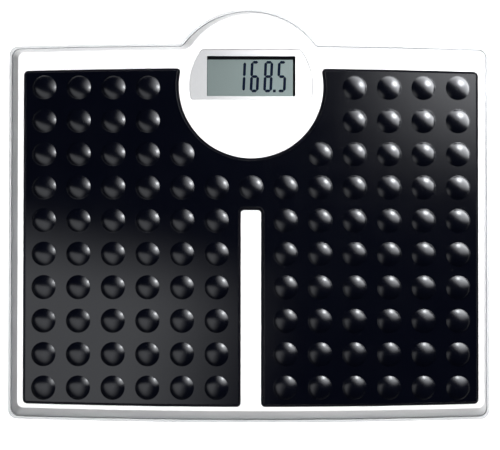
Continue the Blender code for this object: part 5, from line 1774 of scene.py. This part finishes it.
@dataclass
class Fasteners:
    """The screws that close the case, sunk in the tray's underside."""

    margin: float = 0.0245
    rear_margin: float = 0.0274
    pod_margin: float = 0.0205
    head_radius: float = 0.0035
    head_thickness: float = 0.0019
    head_rings: tuple[float, ...] = (0.4, 0.6, 0.8, 0.92, 1.0)
    head_rim: float = 0.45
    shank_radius: float = 0.0014
    length: float = 0.0150
    sink: float = 0.0026
    thread_pitch: float = 0.0010
    thread_depth: float = 0.00025
    cross_reach: float = 0.0021
    cross_width: float = 0.00075
    cross_depth: float = 0.0011
    boss_radius: float = 0.0058
    boss_top: float = 0.0152

    @property
    def spots(self) -> list[Point]:
        """The screws' places, in the order of their nodes' names.

        Returns:
            The places of their axes.
        """
        x = PLAN.half_width - self.margin
        front, rear = PLAN.front_y + self.margin, PLAN.rear_y - self.rear_margin
        pod = PLAN.depth / 2 - self.pod_margin
        return [(-x, front), (0.0, front), (x, front), (-x, rear), (0.0, pod), (x, rear)]

    @property
    def head_top(self) -> float:
        """The height of the heads' inner faces."""
        return PLAN.tray_bottom + self.sink + self.head_thickness

    def bosses(self, added: Draft) -> None:
        """Adds the screws' bosses to the tray.

        Args:
            added: The draft of what the tray gains.
        """
        for spot in self.spots:
            added.rod(self.boss_radius, (PLAN.tray_root, self.boss_top), (*spot, 0), SCREW_SIDES)

    def hollow(self, cuts: Draft) -> None:
        """Cuts the screws' holes in the tray.

        Args:
            cuts: The draft of what the tray loses.
        """
        head, shank, below = self.head_radius + FIT_GAP, self.shank_radius + FIT_GAP, PLAN.under_tray
        for spot in self.spots:
            cuts.rod(head, (below, self.head_top + FIT_GAP), (*spot, 0), HEAD_SIDES)
            cuts.rod(shank, (below, self.boss_top + CUT_OVERRUN), (*spot, 0), PIN_SIDES)

    def profile(self) -> list[Point]:
        """The section of a screw, from its domed head to its tip.

        Returns:
            Points of radius and height.
        """
        head, thick, shank = self.head_radius, self.head_thickness, self.shank_radius
        made = [(0.0, -thick)]
        for share in self.head_rings:
            rise = self.head_rim + (1 - self.head_rim) * math.cos(QUARTER * share)
            made.append((head * share, -thick * rise))
        made += [(head, 0.0), (shank, 0.0)]
        root, at = shank - self.thread_depth, self.thread_pitch
        while at < self.length - 2 * shank:
            made += [(root, at), (shank, at + self.thread_pitch / 2)]
            at += self.thread_pitch
        return made + [(root, at), (0.0, self.length)]

    def build(self) -> None:
        """Makes the screws."""
        reach, half = self.cross_reach, self.cross_width / 2
        low, high = -self.head_thickness - CUT_OVERRUN, self.cross_depth - self.head_thickness
        for number, spot in enumerate(self.spots, 1):
            cross = Draft().slab((0, 0), (reach, half), low, high).slab((0, 0), (half, reach), low, high)
            body = Draft().turned(self.profile(), sides=SCREW_SIDES)
            stand_in(f"case_screw_{number}", (STEEL,), body, cut=cross, at=(*spot, self.head_top))


@dataclass
class UnitSwitch:
    """The slide switch for the unit, on the underside."""

    spot: Point = (0.085, -0.005)
    travel: float = 0.0040
    length: float = 0.0040
    width: float = 0.0032
    sink: float = 0.0004
    flange: float = 0.0010
    flange_thickness: float = 0.0007
    stem: float = 0.0016
    stem_height: float = 0.0020
    recess_margin: float = 0.0012
    recess_depth: float = 0.0009
    ridges: int = 3
    ridge_gap_half: float = 0.0002
    ridge_height: float = 0.0004
    bevel: float = 0.0001

    def hollow(self, cuts: Draft) -> None:
        """Cuts the knob's slot and the shallow recess round it.

        Args:
            cuts: The draft of what the tray loses.
        """
        x, y = self.spot
        across, along = (self.length + self.travel) / 2 + FIT_GAP, self.width / 2 + FIT_GAP
        cuts.slab(self.spot, (across, along), PLAN.under_tray, PLAN.floor_top + CUT_OVERRUN / 2)
        margin = self.recess_margin
        outline = rounded_rectangle(across + margin, -along - margin, along + margin, margin)
        recess = [(x + px, y + py) for px, py in outline]
        cuts.prism(recess, PLAN.under_tray, PLAN.tray_bottom + self.recess_depth)

    def build(self) -> None:
        """Makes the knob."""
        x, y = self.spot[0] - self.travel / 2, self.spot[1]
        half_x, half_y, half_stem = self.length / 2, self.width / 2, self.stem / 2
        low, base = PLAN.tray_bottom + self.sink, PLAN.floor_top + FIT_GAP
        top = base + self.flange_thickness
        wide, deep = half_x + self.flange, half_y + self.flange
        body = Draft().slab((x, y), (half_x, half_y), low, top)
        added = Draft().slab((x, y), (wide, deep), base, top)
        added.slab((x, y), (half_stem, half_stem), base, top + FIT_GAP + self.stem_height)
        grooves = Draft()
        for i in range(self.ridges):
            middle = x + (i - (self.ridges - 1) / 2) * self.length / (self.ridges + 1)
            size = (self.ridge_gap_half, deep)
            grooves.slab((middle, y), size, low - CUT_OVERRUN, low + self.ridge_height)
        stand_in("unit_switch_knob", (WHITE,), body, "knob", add=added, cut=grooves, bevel=self.bevel)


@dataclass
class BaseTray:
    """The lower shell: a floor with a low lip, foot pockets, screw bosses and the battery box."""

    bay: BatteryBay
    feet: list[Foot]
    fasteners: Fasteners
    switch: UnitSwitch
    lip: float = 0.0021
    lip_edge: float = 0.0004
    lip_steps: int = 4
    turn: float = 0.0040
    turn_steps: int = 8
    rating_size: Point = (0.070, 0.036)
    rating_margin: float = 0.0435
    rating_corner: float = 0.0020
    rating_recess: float = 0.0005
    bevel: float = 0.00015

    def levels(self) -> list[Point]:
        """The shell's section, from the bottom's edge to the inside of the floor.

        Returns:
            Heights and insets from the body's outline.
        """
        bottom, seam, lip = PLAN.tray_bottom, PLAN.seam_height, self.lip
        edge, steps = self.lip_edge, self.lip_steps
        made = rounded((bottom, self.turn), (bottom + self.turn, 0.0), self.turn_steps, hollow=True)
        made += rounded((seam - edge, 0.0), (seam, edge), steps)
        made += rounded((seam, lip - edge), (seam - edge, lip), steps, hollow=True)
        return made + [(PLAN.floor_top, lip)]

    def build(self) -> None:
        """Makes the tray."""
        rings = [raised(PLAN.outline(inset), z) for z, inset in self.levels()]
        added, cuts = Draft(), Draft()
        self.bay.housing(added)
        for foot in self.feet:
            foot.pocket(added)
        self.fasteners.bosses(added)
        for part in (*self.feet, self.fasteners, self.bay, self.switch):
            part.hollow(cuts)
        front = PLAN.front_y + self.rating_margin
        rear = front + self.rating_size[1]
        side = self.rating_size[0] / 2 + FIT_GAP
        plate = rounded_rectangle(side, front - FIT_GAP, rear + FIT_GAP, self.rating_corner)
        cuts.prism(plate, PLAN.under_tray, PLAN.tray_bottom + self.rating_recess)
        stand_in("base_tray", (TRAY,), Draft().loft(rings), add=added, cut=cuts, bevel=self.bevel)


# Inside


@dataclass
class InnerParts:
    """The CAD nodes that keep their own shapes, with a finish for each."""

    finishes: dict[str, Finish] = field(
        default_factory=lambda: {
            "stiffener_plate": STEEL,
            "display_lens": CLEAR,
            "lcd_panel": READOUT,
            "lcd_frame": FRAME,
            "lcd_connector": STRIP,
            "display_board": BOARD,
            "controller_chip": BLACK,
            "board_capacitor": CAN,
            "tap_sensor": STEEL,
            "unit_switch_body": BLACK,
            "rating_plate": RATING,
            "battery_lead_negative": LEAD_BLACK,
            "battery_lead_positive": LEAD_RED,
            "board_screw": STEEL,
            "load_cell": STEEL,
            "cell_carrier": CARRIER,
            "cell_cable": CABLE,
        }
    )

    def build(self) -> None:
        """Dresses the nodes in place."""
        for name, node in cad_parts.items():
            for start, finish in self.finishes.items():
                if name.startswith(start):
                    node.data.materials.clear()
                    node.data.materials.append(finish.material())
                    LOG.info("%s keeps its shape, in %s", name, finish.name)


# Studio

NEUTRAL = (1.0, 1.0, 1.0)
WIDEST = 177.6


class Reach(Enum):
    """What a studio light does: both, only mirrored highlights, or only soft shading."""

    BOTH = (True, True)
    HIGHLIGHTS = (False, True)
    SHADING = (True, False)


@dataclass(frozen=True)
class SoftBox:
    """A flat studio light whose glow rises softly from its four edges; turns are in degrees."""

    name: str
    centre: Place
    heading: float
    tilt: float
    roll: float
    size: Point
    fades: tuple[float, float, float, float]
    radiance: float
    spread: float
    tint: Colour = (0.98, 1.0, 1.03)
    reach: Reach = Reach.BOTH
    aimed_at: tuple[str, ...] = ()
    shielded: tuple[str, ...] = ()

    def axes(self) -> tuple[Vector, Vector, Vector]:
        """Works out the light's own directions.

        Returns:
            Across it, along it, and the way that it shines.
        """
        heading, tilt, roll = (math.radians(turn) for turn in (self.heading, self.tilt, self.roll))
        sine = math.sin(tilt)
        shine = Vector((sine * math.cos(heading), sine * math.sin(heading), -math.cos(tilt)))
        level = Vector((-math.sin(heading), math.cos(heading), 0))
        steep = shine.cross(level)
        turn, lean = math.cos(roll), math.sin(roll)
        return level * turn + steep * lean, steep * turn - level * lean, shine

    def build(self) -> None:
        """Makes the light."""
        light = bpy.data.lights.new(self.name, "AREA")
        light.shape, light.size, light.size_y = "RECTANGLE", *self.size
        light.spread = math.radians(self.spread)
        half = light.spread / 2
        light.energy = math.pi * self.size[0] * self.size[1] * (math.tan(half) - half) / math.tan(half)
        light.color = self.tint
        light.use_nodes = True
        wiring = Wiring(light.node_tree)
        where = wiring.add("NewGeometry").outputs["Position"]
        away = wiring.add("VectorMath", {0: where, 1: self.centre}, operation="SUBTRACT").outputs[0]
        across, along, shine = self.axes()
        glow = self.radiance
        for number, axis in enumerate((across, along)):
            place = wiring.add("VectorMath", {0: away, 1: axis}, operation="DOT_PRODUCT").outputs["Value"]
            edge = self.size[number] / 2
            low, high = self.fades[2 * number : 2 * number + 2]
            glow = wiring.sum("MULTIPLY", glow, wiring.ramp(place, -edge, low - edge))
            glow = wiring.sum("MULTIPLY", glow, wiring.ramp(place, edge, edge - high))
        wiring.join(wiring.tree.nodes["Emission"], {"Strength": glow})
        lamp = placed(self.name, light)
        turn = Matrix((across, -along, -shine)).transposed().to_4x4()
        lamp.matrix_world = Matrix.Translation(self.centre) @ turn
        lamp.visible_camera = False
        lamp.visible_diffuse, lamp.visible_glossy = self.reach.value
        for pieces, state in ((self.aimed_at, "INCLUDE"), (self.shielded, "EXCLUDE")):
            if pieces:
                flagged = bpy.data.collections.new(f"{self.name}_{state.lower()}")
                for piece in pieces:
                    flagged.objects.link(bpy.data.objects[piece])
                    flagged.collection_objects[-1].light_linking.link_state = state
                lamp.light_linking.receiver_collection = flagged


@dataclass
class Studio:
    """The pale floor, the soft lights and the camera above; turns are in degrees."""

    floor_radius: float = 6.0
    floor_albedo: float = 0.30
    floor_glow: float = 1.0
    floor_roughness: float = 0.9
    camera_place: Place = (-0.0474, -0.0781, 0.710)
    camera_turn: Place = (0.53, -0.165, 0.093)
    lens: float = 55.39
    sensor_width: float = 36.0
    shift: Point = (0.1027, 0.1392)
    room: Colour = (0.012, 0.0132, 0.018)
    lights: tuple[SoftBox, ...] = (
        SoftBox(
            "main_soft_box", (0.23, 0.143, 0.28), -127.2, 78.2, -2.0, (0.77, 0.67),
            (0.53, 0.39, 0.11, 2.0), 72.0, 172.0, reach=Reach.HIGHLIGHTS, shielded=FLAT_PIECES,
        ),
        SoftBox(
            "near_soft_box", (0.24, 0.20, 0.14), -132.0, 62.0, 0.0, (0.15, 0.15),
            (0.06, 0.06, 0.06, 0.06), 30.0, 150.0, reach=Reach.HIGHLIGHTS, shielded=FLAT_PIECES,
        ),
        SoftBox(
            "corner_soft_box", (0.70, 0.62, 1.245), -90.0, 0.0, 0.0, (0.9, 0.9),
            (0.5, 0.05, 0.05, 0.5), 7.0, WIDEST, reach=Reach.HIGHLIGHTS, aimed_at=(MAT_PLATE,),
        ),
        SoftBox(
            "fill_soft_box", (-1.38, 0.02, 0.60), 138.4, 20.0, 62.3, (3.0, 0.55),
            (0.2, 2.0, 0.36, 0.11), 1.45, 174.2, reach=Reach.HIGHLIGHTS,
        ),
        SoftBox(
            "overhead_soft_box", (0.33, 0.22, 1.60), -146.3, 13.9, 0.0, (1.0, 1.0),
            (0.3, 0.3, 0.3, 0.3), 26.0, WIDEST, NEUTRAL, Reach.SHADING,
        ),
        SoftBox(
            "rear_soft_box", (0.05, 1.30, 0.45), -92.5, 70.0, 0.0, (1.0, 0.5),
            (0.2, 0.2, 0.1, 0.1), 6.0, WIDEST, NEUTRAL, Reach.SHADING,
        ),
        SoftBox(
            "underside_soft_box", (0.8, -0.8, -1.0), 135.0, 131.5, 0.0, (1.2, 1.2),
            (0.3, 0.3, 0.3, 0.3), 10.0, WIDEST, NEUTRAL,
        ),
    )  # fmt: skip

    def build(self) -> None:
        """Makes the floor, the surroundings, the lights and the camera."""
        bpy.context.scene.view_settings.view_transform = "Standard"
        self.build_floor()
        self.build_world()
        for light in self.lights:
            light.build()
        self.build_camera()

    def build_floor(self) -> None:
        """Makes the floor, which is no part of the object and can be seen through from below."""
        outline = arc((0, 0), self.floor_radius, 0, FULL_TURN, FINE_SIDES)[:-1]
        draft = Draft()
        draft.bm.faces.new([draft.bm.verts.new(point) for point in raised(outline, 0)])
        floor = placed("floor", draft.mesh("floor"))
        material = bpy.data.materials.new("pale_floor")
        material.use_nodes = True
        wiring = Wiring(material.node_tree)
        light_path = wiring.add("LightPath").outputs
        albedo = self.floor_albedo
        values = {
            "Base Color": (albedo, albedo, albedo, 1.0),
            "Roughness": self.floor_roughness,
            "Specular IOR Level": 0.0,
            "Emission Color": (*NEUTRAL, 1.0),
            "Emission Strength": wiring.sum("MULTIPLY", light_path["Is Camera Ray"], self.floor_glow),
        }
        shader = wiring.join(wiring.tree.nodes["Principled BSDF"], values).outputs[0]
        below = wiring.add("NewGeometry").outputs["Backfacing"]
        open_to = wiring.sum("MAXIMUM", below, light_path["Is Shadow Ray"])
        clear = wiring.add("BsdfTransparent").outputs[0]
        surface = wiring.add("MixShader", {0: open_to, 1: shader, 2: clear}).outputs[0]
        wiring.join(wiring.tree.nodes["Material Output"], {"Surface": surface})
        floor.data.materials.append(material)
        floor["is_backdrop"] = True

    def build_world(self) -> None:
        """Makes the surroundings: pale to the eye, dim in reflections."""
        world = bpy.data.worlds.new("studio")
        bpy.context.scene.world = world
        world.use_nodes = True
        wiring = Wiring(world.node_tree)
        seen = wiring.add("LightPath").outputs["Is Camera Ray"]
        colour = wiring.blend(seen, (*self.room, 1.0), (*NEUTRAL, 1.0))
        wiring.join(wiring.tree.nodes["Background"], {"Color": colour})

    def build_camera(self) -> None:
        """Makes the camera, which looks down, a little out of square."""
        data = bpy.data.cameras.new("camera")
        data.lens, data.sensor_width = self.lens, self.sensor_width
        data.shift_x, data.shift_y = self.shift
        camera = placed("camera", data)
        camera.location = self.camera_place
        camera.rotation_euler = [math.radians(turn) for turn in self.camera_turn]
        bpy.context.scene.camera = camera


def main() -> None:
    """Builds every part of the scale and the studio round it."""
    logging.basicConfig(level=logging.INFO, format="%(name)s: %(message)s")
    cad_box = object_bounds()
    mat, display, bay, switch = GripMat(), DisplayWindow(), BatteryBay(), UnitSwitch()
    feet, fasteners = [Foot(corner) for corner in Corner], Fasteners()
    parts = (
        InnerParts(),
        mat,
        display,
        PlatformCover(mat, display),
        BaseTray(bay, feet, fasteners, switch),
        bay,
        *feet,
        fasteners,
        switch,
        Studio(),
    )
    for part in parts:
        part.build()
    boxes = {"cad": cad_box, "visual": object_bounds()}
    {name: [list(corner) for corner in box] for name, box in boxes.items()}


if __name__ == "__main__":
    main()
